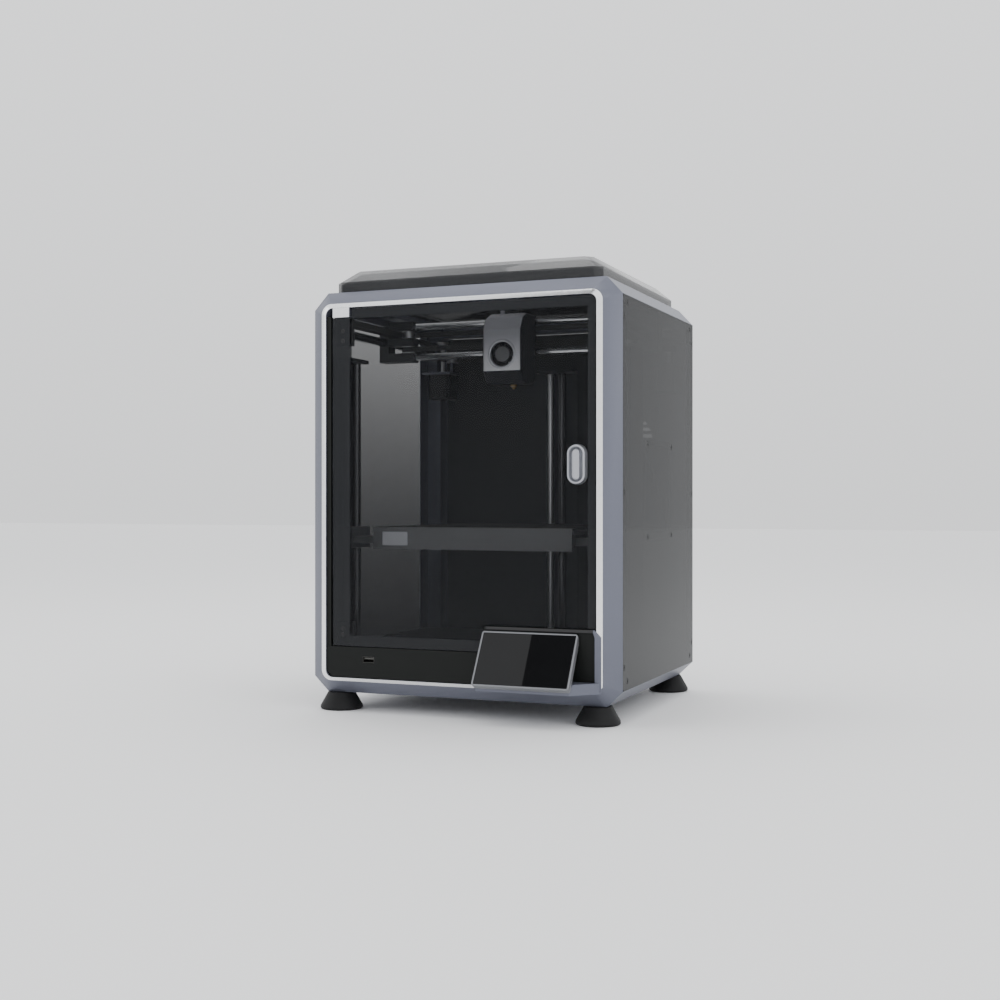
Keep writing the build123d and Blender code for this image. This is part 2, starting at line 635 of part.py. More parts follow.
def pulley(x, y, z, bore):
    """A flanged pulley about an upright axis, its groove filled by the belt."""
    shape = rod_z(x, y, z - PULLEY_HALF, z + PULLEY_HALF, FLANGE_R)
    ring = rod_z(x, y, z - BELT_WIDTH / 2 - 0.15, z + BELT_WIDTH / 2 + 0.15, FLANGE_R + 1)
    ring -= rod_z(x, y, z - PULLEY_HALF, z + PULLEY_HALF, GROOVE_R)
    shape -= ring
    return shape - rod_z(x, y, z - PULLEY_HALF - 1, z + PULLEY_HALF + 1, bore)


def motor_pulley(side):
    """Pulley pressed on the motor's shaft, with the shaft that turns with it."""
    level = LEVEL_A if side < 0 else LEVEL_B
    x = side * MOTOR_X
    shaft = rod_z(x, MOTOR_Y, SHELF_LOW + 0.2, level + PULLEY_HALF, 2.5)
    return pulley(x, MOTOR_Y, level, 2.5) + shaft


def xy_motor(side):
    x, half = side * MOTOR_X, MOTOR_SIZE / 2
    shape = box(x - half, x + half, MOTOR_Y - half, MOTOR_Y + half, SHELF_LOW - MOTOR_HEIGHT, SHELF_LOW)
    shape = chamfer(shape.edges().filter_by(Axis.Z), 4.5)
    return shape + rod_z(x, MOTOR_Y, SHELF_LOW - 1, SHELF_LOW + 0.2, 9.0)


def strip(p, q, level):
    """A straight stretch of belt between two tangent points."""
    (x0, y0), (x1, y1) = p, q
    length = math.hypot(x1 - x0, y1 - y0)
    nx, ny = -(y1 - y0) / length * BELT / 2, (x1 - x0) / length * BELT / 2
    points = [(x0 + nx, y0 + ny), (x1 + nx, y1 + ny), (x1 - nx, y1 - ny), (x0 - nx, y0 - ny)]
    return prism_z(points, level - BELT_WIDTH / 2, level + BELT_WIDTH / 2)


def wrap(x, y, level, start, end):
    """The belt's arc on a pulley, from one angle to another in degrees."""
    z0, z1 = level - BELT_WIDTH / 2, level + BELT_WIDTH / 2
    ring = rod_z(x, y, z0, z1, PITCH_R + BELT / 2) - rod_z(x, y, z0 - 1, z1 + 1, PITCH_R - BELT / 2)
    steps = max(2, math.ceil((end - start) / 60))
    reach = 20.0
    fan = [(x, y)]
    for i in range(steps + 1):
        a = math.radians(start + (end - start) * i / steps)
        fan.append((x + reach * math.cos(a), y + reach * math.sin(a)))
    return ring & prism_z(fan, z0 - 1, z1 + 1)


def tangent(c0, c1, left):
    """Tangent points of the outer belt line of two equal pulleys, left or right of c0 to c1."""
    (x0, y0), (x1, y1) = c0, c1
    length = math.hypot(x1 - x0, y1 - y0)
    s = PITCH_R / length * (1 if left else -1)
    nx, ny = -(y1 - y0) * s, (x1 - x0) * s
    return (x0 + nx, y0 + ny), (x1 + nx, y1 + ny), math.degrees(math.atan2(ny, nx))


def frame_belt_upper():
    """Upper belt's fixed stretch: front left idler, left motor, across the back, rear right idler."""
    fl, m, rr = (-FRONT_IDLER_X, FRONT_IDLER_Y), (-MOTOR_X, MOTOR_Y), (REAR_IDLER_X, REAR_IDLER_Y)
    p, q, side_angle = tangent(fl, m, True)
    s, t, back_angle = tangent(m, rr, True)
    shape = strip(p, q, LEVEL_A) + strip(s, t, LEVEL_A)
    shape += wrap(*fl, LEVEL_A, side_angle, 360.0)
    shape += wrap(*m, LEVEL_A, back_angle, side_angle)
    return shape + wrap(*rr, LEVEL_A, 0.0, back_angle)


def frame_belts():
    upper = frame_belt_upper()
    lower = Pos(0, 0, LEVEL_B - LEVEL_A) * mirror(upper, about=Plane.YZ)
    return [upper, lower, lift_belt()]


def lift_belt():
    """The loop in the base that turns the three lifting screws together."""
    z0, z1 = LIFT_BELT_Z - BELT_WIDTH / 2, LIFT_BELT_Z + BELT_WIDTH / 2

    def hull(radius, low, high):
        circles = [Pos(x, y) * Circle(radius) for x, y in screw_places()]
        outline = make_hull(Sketch(children=circles).edges())
        return extrude(Pos(0, 0, low) * outline, amount=high - low)

    return hull(PITCH_R + BELT / 2, z0, z1) - hull(PITCH_R - BELT / 2, z0 - 1, z1 + 1)


def belt_y_spans():
    """The stretches whose length follows the gantry: idler on the block to idler on the frame."""
    x = GANTRY_IDLER_X + PITCH_R
    return [
        strip((-x, FRONT_IDLER_Y), (-x, GANTRY_Y), LEVEL_A), strip((x, GANTRY_Y), (x, REAR_IDLER_Y), LEVEL_A),
        strip((x, FRONT_IDLER_Y), (x, GANTRY_Y), LEVEL_B), strip((-x, GANTRY_Y), (-x, REAR_IDLER_Y), LEVEL_B)]


def belt_x_spans():
    """The stretches from the blocks' idlers to the head, with their quarter turns."""
    x, r = GANTRY_IDLER_X, PITCH_R
    head0, head1 = HEAD_X - CARRIAGE_HALF, HEAD_X + CARRIAGE_HALF
    back, front = GANTRY_Y + r, GANTRY_Y - r
    return [
        strip((-x, back), (head0, back), LEVEL_A) + wrap(-x, GANTRY_Y, LEVEL_A, 90, 180),
        strip((head1, front), (x, front), LEVEL_A) + wrap(x, GANTRY_Y, LEVEL_A, -90, 0),
        strip((head1, back), (x, back), LEVEL_B) + wrap(x, GANTRY_Y, LEVEL_B, 0, 90),
        strip((-x, front), (head0, front), LEVEL_B) + wrap(-x, GANTRY_Y, LEVEL_B, 180, 270)]


# ---------------------------------------------------------------- print head
CARRIAGE_HALF = 17.5
COVER_HALF = 24.0
COVER_FRONT = BED_CENTRE_Y - 38.0
COVER_BACK = GANTRY_Y - 9.0
COVER_WALL = 2.0
COVER_LOW = 361.0
COVER_TOP = 442.0
FAN_Z = 394.0
FAN_R = 14.0


def toolhead_carriage():
    y0, y1 = COVER_BACK, GANTRY_Y + 12
    shape = box(HEAD_X - CARRIAGE_HALF, HEAD_X + CARRIAGE_HALF, y0, y1, X_ROD_LOW - 7, X_ROD_HIGH + 7)
    for z in (X_ROD_LOW, X_ROD_HIGH):
        shape -= rod_x(GANTRY_Y, z, HEAD_X - 40, HEAD_X + 40, X_ROD_R + FIT)
    return shape


def cover_outline(inset):
    """Side outline of the cover as (y, z): chin, upright face, brow that leans back."""
    f, b = COVER_FRONT + inset, COVER_BACK
    return [(b, COVER_LOW + 8), (b - 8, COVER_LOW + inset), (f + 12, COVER_LOW + inset),
            (f, COVER_LOW + 14), (f, 422.0 - inset * 0.4), (f + 8, 436.0 - inset * 0.8),
            (f + 21, COVER_TOP - inset), (b, COVER_TOP - inset)]


def toolhead_cover():
    shape = prism_x(cover_outline(0), HEAD_X - COVER_HALF, HEAD_X + COVER_HALF)
    face_edges = shape.edges().filter_by(lambda e: e.center().Y < COVER_BACK - 6)
    shape = fillet(face_edges.filter_by(Axis.X, reverse=True), 4.0)
    hollow = prism_x(cover_outline(COVER_WALL), HEAD_X - COVER_HALF + COVER_WALL, HEAD_X + COVER_HALF - COVER_WALL)
    hollow += box(HEAD_X - COVER_HALF + COVER_WALL, HEAD_X + COVER_HALF - COVER_WALL,
                  COVER_BACK - 2, COVER_BACK + 1, COVER_LOW + 9, COVER_TOP - COVER_WALL)
    shape -= hollow
    # open chin for the nozzle, and the fan's mouth
    shape -= box(HEAD_X - 14, HEAD_X + 14, BED_CENTRE_Y - 14, COVER_BACK + 1, COVER_LOW - 2, COVER_LOW + 12)
    shape -= rod_y(HEAD_X, FAN_Z, COVER_FRONT - 2, COVER_FRONT + 6, FAN_R)
    return shape


def fan_hub_and_blades(x, y, z, hub, tip, thickness, count):
    """A fan wheel about an axis along Y, its blades swept as flat pitched vanes."""
    shape = rod_y(x, z, y - thickness / 2, y + thickness / 2, hub)
    for i in range(count):
        blade = Pos((hub + tip) / 2 - 1, 0, 0) * Rot(32, 0, 0) * Box(tip - hub + 1, thickness * 0.8, 1.2)
        shape += Pos(x, y, z) * Rot(0, 360.0 * i / count, 0) * blade
    return shape


def hotend_fan_rotor():
    return fan_hub_and_blades(HEAD_X, COVER_FRONT + 7.5, FAN_Z, 6.0, FAN_R - 1.2, 6.0, 7)


def extruder_motor():
    """Round flat stepper with its gear case, behind the brow of the cover."""
    shape = rod_y(HEAD_X, 415.5, COVER_FRONT + 14, COVER_BACK - 3, 17.0)
    return shape + box(HEAD_X - 13, HEAD_X + 13, COVER_BACK - 12, COVER_BACK, 398.5, 430)


def hotend():
    """Finned heat sink, heater block and nozzle in one line, hung under the gear case."""
    x, y = HEAD_X, BED_CENTRE_Y
    sink = rod_z(x, y, 374, 398.5, 4.5)
    for i in range(7):
        sink += Pos(x, y - 2, 376 + i * 2.9) * Box(18, 12, 1.3)
    heater = box(x - 8, x + 8, y - 6, y + 3, 363, 371) + rod_z(x, y, 371, 374, 2.2)
    tip = [(0, NOZZLE_Z), (0.6, NOZZLE_Z), (2.6, NOZZLE_Z + 2.8), (3.4, NOZZLE_Z + 3.2), (3.4, 363), (0, 363)]
    nozzle = Pos(x, y, 0) * revolve(face([(r, 0, z) for r, z in tip]), axis=Axis.Z)
    return sink + heater + nozzle


def part_fan_duct():
    """Blower beside the hot end, with the nozzle-shaped outlet that cools the print."""
    y0 = COVER_FRONT + 14
    shape = box(HEAD_X + 10.5, HEAD_X + 21, y0, COVER_BACK - 3, 372, 396)
    shape -= rod_x(y0 + 13, 385, HEAD_X + 18, HEAD_X + 22, 8.0)
    outlet = [(HEAD_X + 12, 372), (HEAD_X + 20, 372), (HEAD_X + 13, 366.5), (HEAD_X + 9.5, 366.5)]
    return shape + prism_y(outlet, BED_CENTRE_Y - 5, COVER_BACK - 3)


LEVER_Y = BED_CENTRE_Y - 8.0
LEVER_Z = 445.0


def filament_lever():
    """Release lever on top of the head: a hub on its pin and a flat thumb piece."""
    x = HEAD_X - 8.0
    shape = rod_y(x, LEVER_Z, LEVER_Y - 4, LEVER_Y + 4, 2.6)
    shape += box(x, x + 20, LEVER_Y - 3.5, LEVER_Y + 3.5, LEVER_Z - 1.2, LEVER_Z + 0.8)
    return shape - rod_y(x, LEVER_Z, LEVER_Y - 5, LEVER_Y + 5, 1.0 + FIT)


def lever_post():
    """Ears on the cover that hold the lever's pin."""
    x = HEAD_X - 8.0
    shape = box(x - 2.6, x + 2.6, LEVER_Y - 7, LEVER_Y - 4.3, COVER_TOP - 1, LEVER_Z + 2)
    shape += box(x - 2.6, x + 2.6, LEVER_Y + 4.3, LEVER_Y + 7, COVER_TOP - 1, LEVER_Z + 2)
    return shape + rod_y(x, LEVER_Z, LEVER_Y - 6, LEVER_Y + 6, 1.0)


# ---------------------------------------------------------------- bed and lifting screws
def bed_carrier():
    """Cast tray under the heater with a front skirt and three arms to the screws."""
    top = BED_TOP - PLATE - HEATER
    low = BED_TOP - 0.5 - SKIRT_HEIGHT
    shape = box(-BED_HALF + 3, BED_HALF - 3, BED_FRONT, BED_BACK - 3, top - 12, top - 0.5)
    shape -= box(-BED_HALF + 13, BED_HALF - 13, BED_FRONT + 10, BED_BACK - 13, top - 13, top - 3.5)
    for x in (-52, 0, 52):
        shape += box(x - 3, x + 3, BED_FRONT + 9, BED_BACK - 12, top - 12, top - 3.5)
    shape += box(-BED_HALF, BED_HALF, BED_FRONT - 4, BED_FRONT - 0.8, low, BED_TOP - 0.5)
    shape += box(-BED_HALF + 3, BED_HALF - 3, BED_FRONT - 1, BED_FRONT + 1, top - 12, top - 3)
    arm_low, arm_high = low, BED_TOP - 1
    for s in (-1, 1):
        y = SIDE_SCREW[1]
        shape += box(s * (BED_HALF - 4), s * 156, y - 8, SIDE_GUIDE[1] + 8, top - 12, top - 4)
        shape += box(s * 152, s * 172.0, y - 10, SIDE_GUIDE[1] + 12, arm_low, arm_high)
    x, y = REAR_SCREW
    shape += box(x - 12, REAR_GUIDE[0] + 12, BED_BACK - 5, y + 10, arm_low, arm_high - 12)
    for x, y in screw_places():
        shape -= rod_z(x, y, low - 1, BED_TOP + 1, NUT_R)
    for x, y in guide_places():
        shape -= rod_z(x, y, low - 1, BED_TOP + 1, BUSH_R)
    return shape


NUT_R = 6.0
BUSH_R = 6.5


def bed_bushings():
    """Brass lead nuts on the screws and sleeve bearings on the guide rods."""
    low = BED_TOP - 0.5 - SKIRT_HEIGHT
    shapes = []
    for places, outer, bore in ((screw_places(), NUT_R, SCREW_R), (guide_places(), BUSH_R, GUIDE_R)):
        for x, y in places:
            high = BED_TOP - 1 if abs(x) > BED_HALF else BED_TOP - 13
            shapes.append(rod_z(x, y, low, high, outer) - rod_z(x, y, low - 1, high + 1, bore + FIT))
    return shapes


def heater_plate():
    z = BED_TOP - PLATE
    shape = box(-BED_HALF + 1, BED_HALF - 1, BED_FRONT + 1, BED_BACK - 1, z - HEATER, z)
    return chamfer(shape.edges().filter_by(Axis.Z), 4.0)


def build_plate():
    shape = box(-BED_HALF, BED_HALF, BED_FRONT, BED_BACK, BED_TOP - PLATE, BED_TOP)
    shape = fillet(shape.edges().filter_by(Axis.Z), 6.0)
    # locating notches at the back edge
    for x in (-70, 70):
        shape -= rod_z(x, BED_BACK, BED_TOP - 5, BED_TOP + 1, 4.0)
    return shape


def lift_screw(place):
    x, y = place
    shape = rod_z(x, y, LIFT_BELT_Z - 7, CAP_LOW - 1, SCREW_R)
    return shape + pulley(x, y, LIFT_BELT_Z, SCREW_R)


def z_columns():
    """Upright guide covers behind the rods, each with a cap that holds the rod's top."""
    shapes = []
    x, y = SIDE_SCREW
    wall = HALF - PANEL - 0.1
    y0, y1 = y - 12, SIDE_GUIDE[1] + 13
    column = box(wall - 1.6, wall, y0, y1, FLOOR_HIGH, CAP_HIGH)
    column += box(x - 9, wall, y0, y1, CAP_LOW, CAP_HIGH)
    column -= rod_z(x, y, CAP_LOW - 1, CAP_HIGH + 1, SCREW_R + FIT)
    column -= rod_z(*SIDE_GUIDE, CAP_LOW - 1, CAP_HIGH + 1, GUIDE_R)
    shapes += both_sides(column)
    x, y = REAR_SCREW
    x0, x1 = x - 16, REAR_GUIDE[0] + 16
    rear = box(x0, x1, y + 12, y + 14, FLOOR_HIGH, CAP_HIGH) + box(x0, x1, y - 9, y + 14, CAP_LOW, CAP_HIGH)
    rear -= rod_z(x, y, CAP_LOW - 1, CAP_HIGH + 1, SCREW_R + FIT)
    rear -= rod_z(*REAR_GUIDE, CAP_LOW - 1, CAP_HIGH + 1, GUIDE_R)
    return shapes + [rear]


# ---------------------------------------------------------------- electrics
LIFT_MOTOR = (-30.0, SIDE_SCREW[1])


def z_motor():
    x, y = LIFT_MOTOR
    half = 21.1
    shape = box(x - half, x + half, y - half, y + half, BOTTOM + 3, 42)
    return chamfer(shape.edges().filter_by(Axis.Z), 4.0)


def z_motor_pulley():
    """Drives the lift belt from inside its front stretch; the shaft turns with it."""
    x, y = LIFT_MOTOR
    return pulley(x, y, LIFT_BELT_Z, 2.5) + rod_z(x, y, 42.2, LIFT_BELT_Z + PULLEY_HALF, 2.5)


def electronics_boards():
    """Slim power supply and the controller board on its stand-offs."""
    supply = box(-150, -44, 20, 120, BOTTOM + 3, 42)
    board = box(20, 128, -70, 20, 27, 28.6)
    for x, y, w, d, h in ((40, -50, 14, 14, 8), (70, -50, 14, 14, 8), (100, -50, 14, 14, 8), (60, -8, 30, 18, 5), (110, 0, 10, 24, 11)):
        board += box(x - w / 2, x + w / 2, y - d / 2, y + d / 2, 28, 28.6 + h)
    for x in (24, 124):
        for y in (-66, 16):
            board += rod_z(x, y, BOTTOM + 3, 27.5, 3.0)
    return [supply, board]


def exhaust_fan_housing():
    x, z = EXHAUST
    h = EXHAUST_HALF
    y0, y1 = BACK - REAR_SHEET - 16, BACK - REAR_SHEET
    shape = box(x - h, x + h, y0, y1, z - h, z + h)
    shape -= rod_y(x, z, y0 - 1, y1 + 1, h - 3.5)
    for a in (0, 90):
        shape += Pos(x, y0 + 1, z) * Rot(0, a + 45, 0) * Box(2 * h - 4, 2, 4)
    return shape + rod_y(x, z, y0, y0 + 2, 12)


def exhaust_fan_rotor():
    x, z = EXHAUST
    return fan_hub_and_blades(x, BACK - REAR_SHEET - 7.5, z, 13.0, EXHAUST_HALF - 5, 9.0, 7)


def aux_fan_housing():
    """Blower on the right-hand panel: scroll case, round intake and an outlet towards the bed."""
    (y0, y1), (z0, z1) = AUX_Y, AUX_Z
    x1 = HALF - PANEL
    x0 = x1 - 24
    shape = box(x0, x1, y0, y1, z0, z1)
    shape = chamfer(shape.edges().filter_by(Axis.X), 9.0)
    cy, cz = (y0 + y1) / 2, (z0 + z1) / 2
    shape -= rod_x(cy, cz, x0 + 2, x1 - 2, 44)
    shape -= rod_x(cy, cz, x0 - 1, x0 + 3, 30)
    shape -= box(x0 - 1, x0 + 10, y0 + 14, y0 + 74, z1 - 18, z1 - 8)
    for y in (y0 + AUX_SCREW_INSET, y1 - AUX_SCREW_INSET):
        for z in (z0 + AUX_SCREW_INSET, z1 - AUX_SCREW_INSET):
            shape -= rod_x(y, z, x1 - 8, x1 + 1, SCREW_HOLE_R)
    return shape


def power_inlet():
    x, z = INLET
    y0, y1 = BACK - 26, BACK
    shape = box(x - 14, x + 14, y0, y1, z - 10, z + 10)
    shape -= box(x - 11.5, x + 11.5, y0 + 6, y1 + 1, z - 7.5, z + 7.5)
    for dx, dz in ((-6.5, -1.5), (6.5, -1.5), (0, 2.5)):
        shape += box(x + dx - 1, x + dx + 1, y0 + 5, y1 - 8, z + dz - 2, z + dz + 2)
    # switch body beside the inlet, with the bore that the rocker turns in
    x, z = ROCKER
    body = box(x - 7, x + 7, y0 + 6, y1, z - 10, z + 10)
    body -= box(x - 5.5, x + 5.5, y1 - 12, y1 + 1, z - 8.7, z + 8.7)
    body -= rod_x(ROCKER_Y, z, x - 8, x + 8, ROCKER_PIN_R + FIT)
    return [shape, body]


ROCKER_Y = BACK - 4.5
ROCKER_TILT = -8.0
ROCKER_PIN_R = 1.4


def power_rocker():
    x, z = ROCKER
    points = [(ROCKER_Y + 1.2, z - 7.4), (ROCKER_Y + 3.6, z - 6.6), (ROCKER_Y + 2.2, z),
              (ROCKER_Y + 3.6, z + 6.6), (ROCKER_Y + 1.2, z + 7.4), (ROCKER_Y - 3, z + 2.6),
              (ROCKER_Y - 3, z - 2.6)]
    key = prism_x(points, x - 5.2, x + 5.2)
    key += rod_x(ROCKER_Y, z, x - 6.5, x + 6.5, ROCKER_PIN_R)
    # stored switched off: the lower half stands out
    pivot = Pos(0, ROCKER_Y, z)
    return pivot * Rot(ROCKER_TILT, 0, 0) * pivot.inverse() * key


def camera():
    """Chamber camera behind the front casting's left post."""
    x0, x1, y0, y1 = -HALF + PANEL + FLANGE + 0.5, -156.0, PANEL_FRONT, PANEL_FRONT + 17
    shape = box(x0, x1, y0, y1, 364, 384)
    shape = chamfer(shape.edges().filter_by(Axis.Z), 2.0)
    return shape + rod_y((x0 + x1) / 2, 374, y1, y1 + 3, 5.0)


def all_parts():
    """Every node's name with its solids."""
    nodes = {
        "front_frame": [front_frame()],
        "rear_frame": [rear_frame()],
        "top_frame": [top_frame()],
        "base_tray": [base_tray()],
        "chamber_floor": [chamber_floor()],
        "front_base_panel": [front_base_panel()],
        "usb_port": [usb_port()],
        "side_panel_left": [side_panel(-1)],
        "side_panel_right": [side_panel(1)],
        "rear_panel": [rear_panel()],
        "panel_screws": panel_screws(),
        "rubber_feet": rubber_feet(),
        "screen_bracket": [screen_bracket()],
        "screen_housing": [screen_housing()],
        "screen_glass": [screen_glass()],
        "guide_rods": guide_rods(),
        "xy_motors": [xy_motor(-1), xy_motor(1)],
        "frame_belts": frame_belts(),
        "belt_y_spans": belt_y_spans(),
        "z_columns": z_columns(),
        "z_motor": [z_motor()],
        "electronics_boards": electronics_boards(),
        "exhaust_fan_housing": [exhaust_fan_housing()],
        "aux_fan_housing": [aux_fan_housing()],
        "power_inlet": power_inlet(),
        "camera": [camera()],
        "door_glass": [door_glass()],
        "door_hinge_leaves": door_hinge_leaves(),
        "door_handle": [door_handle()],
        "lid_shell": [lid_shell()],
        "gantry_blocks": both_sides(gantry_block()),
        "x_rods": x_rods(),
        "belt_x_spans": belt_x_spans(),
        "toolhead_carriage": [toolhead_carriage()],
        "toolhead_cover": [toolhead_cover() + lever_post()],
        "extruder_motor": [extruder_motor()],
        "hotend": [hotend()],
        "part_fan_duct": [part_fan_duct()],
        "hotend_fan_rotor": [hotend_fan_rotor()],
        "filament_lever": [filament_lever()],
        "bed_carrier": [bed_carrier()],
        "bed_bushings": bed_bushings(),
        "heater_plate": [heater_plate()],
        "build_plate": [build_plate()],
        "exhaust_fan_rotor": [exhaust_fan_rotor()],
        "power_rocker": [power_rocker()],
        "motor_pulley_left": [motor_pulley(-1)],
        "motor_pulley_right": [motor_pulley(1)],
        "front_idler_left": [pulley(-FRONT_IDLER_X, FRONT_IDLER_Y, LEVEL_A, AXLE_R + FIT)],
        "front_idler_right": [pulley(FRONT_IDLER_X, FRONT_IDLER_Y, LEVEL_B, AXLE_R + FIT)],
        "rear_idler_left": [pulley(-REAR_IDLER_X, REAR_IDLER_Y, LEVEL_B, AXLE_R + FIT)],
        "rear_idler_right": [pulley(REAR_IDLER_X, REAR_IDLER_Y, LEVEL_A, AXLE_R + FIT)],
    }
    for side, sign in (("left", -1), ("right", 1)):
        for name, level in (("upper", LEVEL_A), ("lower", LEVEL_B)):
            nodes[f"gantry_idler_{side}_{name}"] = [
                pulley(sign * GANTRY_IDLER_X, GANTRY_Y, level, AXLE_R + FIT)]
    nodes["z_motor_pulley"] = [z_motor_pulley()]
    for name, place in zip(("left", "right", "rear"), screw_places()):
        nodes[f"z_screw_{name}"] = [lift_screw(place)]
    return nodes


os.makedirs("parts", exist_ok=True)
for node, shapes in all_parts().items():
    save(node, *shapes)
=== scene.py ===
import bmesh
import bpy
import json
import math
from mathutils import Matrix, Vector

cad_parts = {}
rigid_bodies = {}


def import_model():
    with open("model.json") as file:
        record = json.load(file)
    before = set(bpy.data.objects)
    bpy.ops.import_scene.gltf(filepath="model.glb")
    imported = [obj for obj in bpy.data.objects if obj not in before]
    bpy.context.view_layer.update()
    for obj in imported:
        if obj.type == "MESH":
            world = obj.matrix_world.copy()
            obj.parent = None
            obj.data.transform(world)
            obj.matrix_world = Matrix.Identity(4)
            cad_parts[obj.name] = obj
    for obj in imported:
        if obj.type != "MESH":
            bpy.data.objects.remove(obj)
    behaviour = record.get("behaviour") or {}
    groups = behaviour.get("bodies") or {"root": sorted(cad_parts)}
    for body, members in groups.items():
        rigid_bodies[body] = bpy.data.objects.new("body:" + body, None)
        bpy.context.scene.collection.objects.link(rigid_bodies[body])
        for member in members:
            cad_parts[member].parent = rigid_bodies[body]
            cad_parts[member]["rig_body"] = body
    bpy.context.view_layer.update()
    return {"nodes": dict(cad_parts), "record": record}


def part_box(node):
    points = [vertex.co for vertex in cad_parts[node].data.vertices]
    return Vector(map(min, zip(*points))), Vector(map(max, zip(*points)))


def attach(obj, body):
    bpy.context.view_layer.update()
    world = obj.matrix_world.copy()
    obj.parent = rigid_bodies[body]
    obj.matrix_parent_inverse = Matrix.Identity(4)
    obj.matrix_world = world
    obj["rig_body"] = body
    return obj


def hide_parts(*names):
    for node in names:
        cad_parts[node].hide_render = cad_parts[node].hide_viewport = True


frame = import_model()

# ---------------------------------------------------------------- studio
# A pale table top under a pale sky, with a soft box above, one at each side and a black card
# in the sky that keeps glare off the screen. The camera stands level, a little to the right.
scene = bpy.context.scene


class Field:
    """A value that varies over a surface, written with ordinary arithmetic."""

    def __init__(self, graph, socket):
        self.graph = graph
        self.socket = socket

    def work(self, operation, *values):
        return self.graph.add("ShaderNodeMath", {"operation": operation}, dict(enumerate(values)))

    def __add__(self, other):
        return self.work("ADD", self, other)

    def __radd__(self, other):
        return self.work("ADD", other, self)

    def __sub__(self, other):
        return self.work("SUBTRACT", self, other)

    def __rsub__(self, other):
        return self.work("SUBTRACT", other, self)

    def __mul__(self, other):
        return self.work("MULTIPLY", self, other)

    def __rmul__(self, other):
        return self.work("MULTIPLY", other, self)

    def __truediv__(self, other):
        return self.work("DIVIDE", self, other)

    def __gt__(self, other):
        return self.work("GREATER_THAN", self, other)

    def __lt__(self, other):
        return self.work("LESS_THAN", self, other)

    def clipped(self):
        return self.work("MINIMUM", self.work("MAXIMUM", self, 0.0), 1.0)


class Graph:
    """A node tree. Every node that isn't arithmetic is made by add()."""

    def __init__(self, tree):
        self.tree = tree

    def add(self, kind, settings=None, sockets=None, out=0):
        node = self.tree.nodes.new(kind)
        for name, value in (settings or {}).items():
            if name == "stops":
                ramp = node.color_ramp
                ramp.elements.remove(ramp.elements[1])
                ramp.elements[0].position, ramp.elements[0].color = value[0][0], (*value[0][1], 1)
                for place, colour in value[1:]:
                    ramp.elements.new(place).color = (*colour, 1)
            else:
                setattr(node, name, value)
        for name, value in (sockets or {}).items():
            if isinstance(value, Field):
                self.tree.links.new(value.socket, node.inputs[name])
            else:
                node.inputs[name].default_value = value
        return Field(self, node.outputs[out]) if node.outputs else node

    def split(self, vector):
        """The three parts of a vector, as Fields."""
        parts = self.add("ShaderNodeSeparateXYZ", None, {0: vector})
        return [Field(self, socket) for socket in parts.socket.node.outputs]

    def blend(self, factor, first, second):
        """Two colours mixed by a factor."""
        return self.add("ShaderNodeMix", {"data_type": "RGBA"}, {0: factor, 6: first, 7: second}, out=2)


sky = bpy.data.worlds.new("studio_sky")
scene.world = sky
sky.use_nodes = True
sky.node_tree.nodes.clear()
heavens = Graph(sky.node_tree)
look = heavens.add("ShaderNodeTexCoord", out=0)
height = heavens.split(look)[2]

camera_place = Vector((0.592, -1.479, 0.231))
screen_low, screen_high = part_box("screen_glass")
screen_facing = Vector((0, screen_low.z - screen_high.z, screen_high.y - screen_low.y)).normalized()


def seen_in_screen(x, height):
    """Where in the sky a point of the screen, at a height, mirrors to the camera."""
    share = (height - screen_low.z) / (screen_high.z - screen_low.z)
    point = Vector((x, screen_low.y + share * (screen_high.y - screen_low.y), height))
    ray = (point - camera_place).normalized()
    return ray - 2 * ray.dot(screen_facing) * screen_facing


def dot(direction):
    return heavens.add("ShaderNodeVectorMath", {"operation": "DOT_PRODUCT"}, {0: look, 1: direction}, out=1)


card_edge = screen_low.x + 0.56 * (screen_high.x - screen_low.x)
edge_top, edge_foot = seen_in_screen(card_edge, screen_high.z), seen_in_screen(card_edge, screen_low.z)
card_side = edge_top.cross(edge_foot).normalized()
if card_side.dot(seen_in_screen(screen_high.x, screen_low.z)) < 0:
    card_side = -card_side
card = (dot(card_side) * 4000.0).clipped() * ((dot(edge_top) - 0.93) * 40.0).clipped()
glow = heavens.add("ShaderNodeMapRange", None, {0: height, 1: 0.0, 2: 0.4, 3: 1.22, 4: 1.5})
background = heavens.add("ShaderNodeBackground", None, {
    "Color": (0.975, 0.985, 1.0, 1), "Strength": glow * (1.0 - 0.9 * card)})
heavens.add("ShaderNodeOutputWorld", None, {"Surface": background})

table = bpy.data.meshes.new("studio_table")
table.from_pydata([(-9, -9, -0.0002), (9, -9, -0.0002), (9, 9, -0.0002), (-9, 9, -0.0002)], [],
                  [(0, 1, 2, 3)])
table_top = bpy.data.objects.new("studio_table", table)
scene.collection.objects.link(table_top)
table_paint = bpy.data.materials.new("studio_table")
table_paint.use_nodes = True
table_paint.node_tree.nodes["Principled BSDF"].inputs["Base Color"].default_value = (0.93, 0.93, 0.93, 1)
table_paint.node_tree.nodes["Principled BSDF"].inputs["Roughness"].default_value = 0.7
table.materials.append(table_paint)


def soft_box(name, place, aim, size, watts):
    """A rectangular studio light at a place, facing a point."""
    light = bpy.data.lights.new(name, "AREA")
    light.shape = "RECTANGLE"
    light.size, light.size_y, light.energy = size[0], size[1], watts
    lamp = bpy.data.objects.new(name, light)
    scene.collection.objects.link(lamp)
    lamp.location = place
    lamp.rotation_euler = (Vector(aim) - Vector(place)).to_track_quat("-Z", "Y").to_euler()
    return lamp


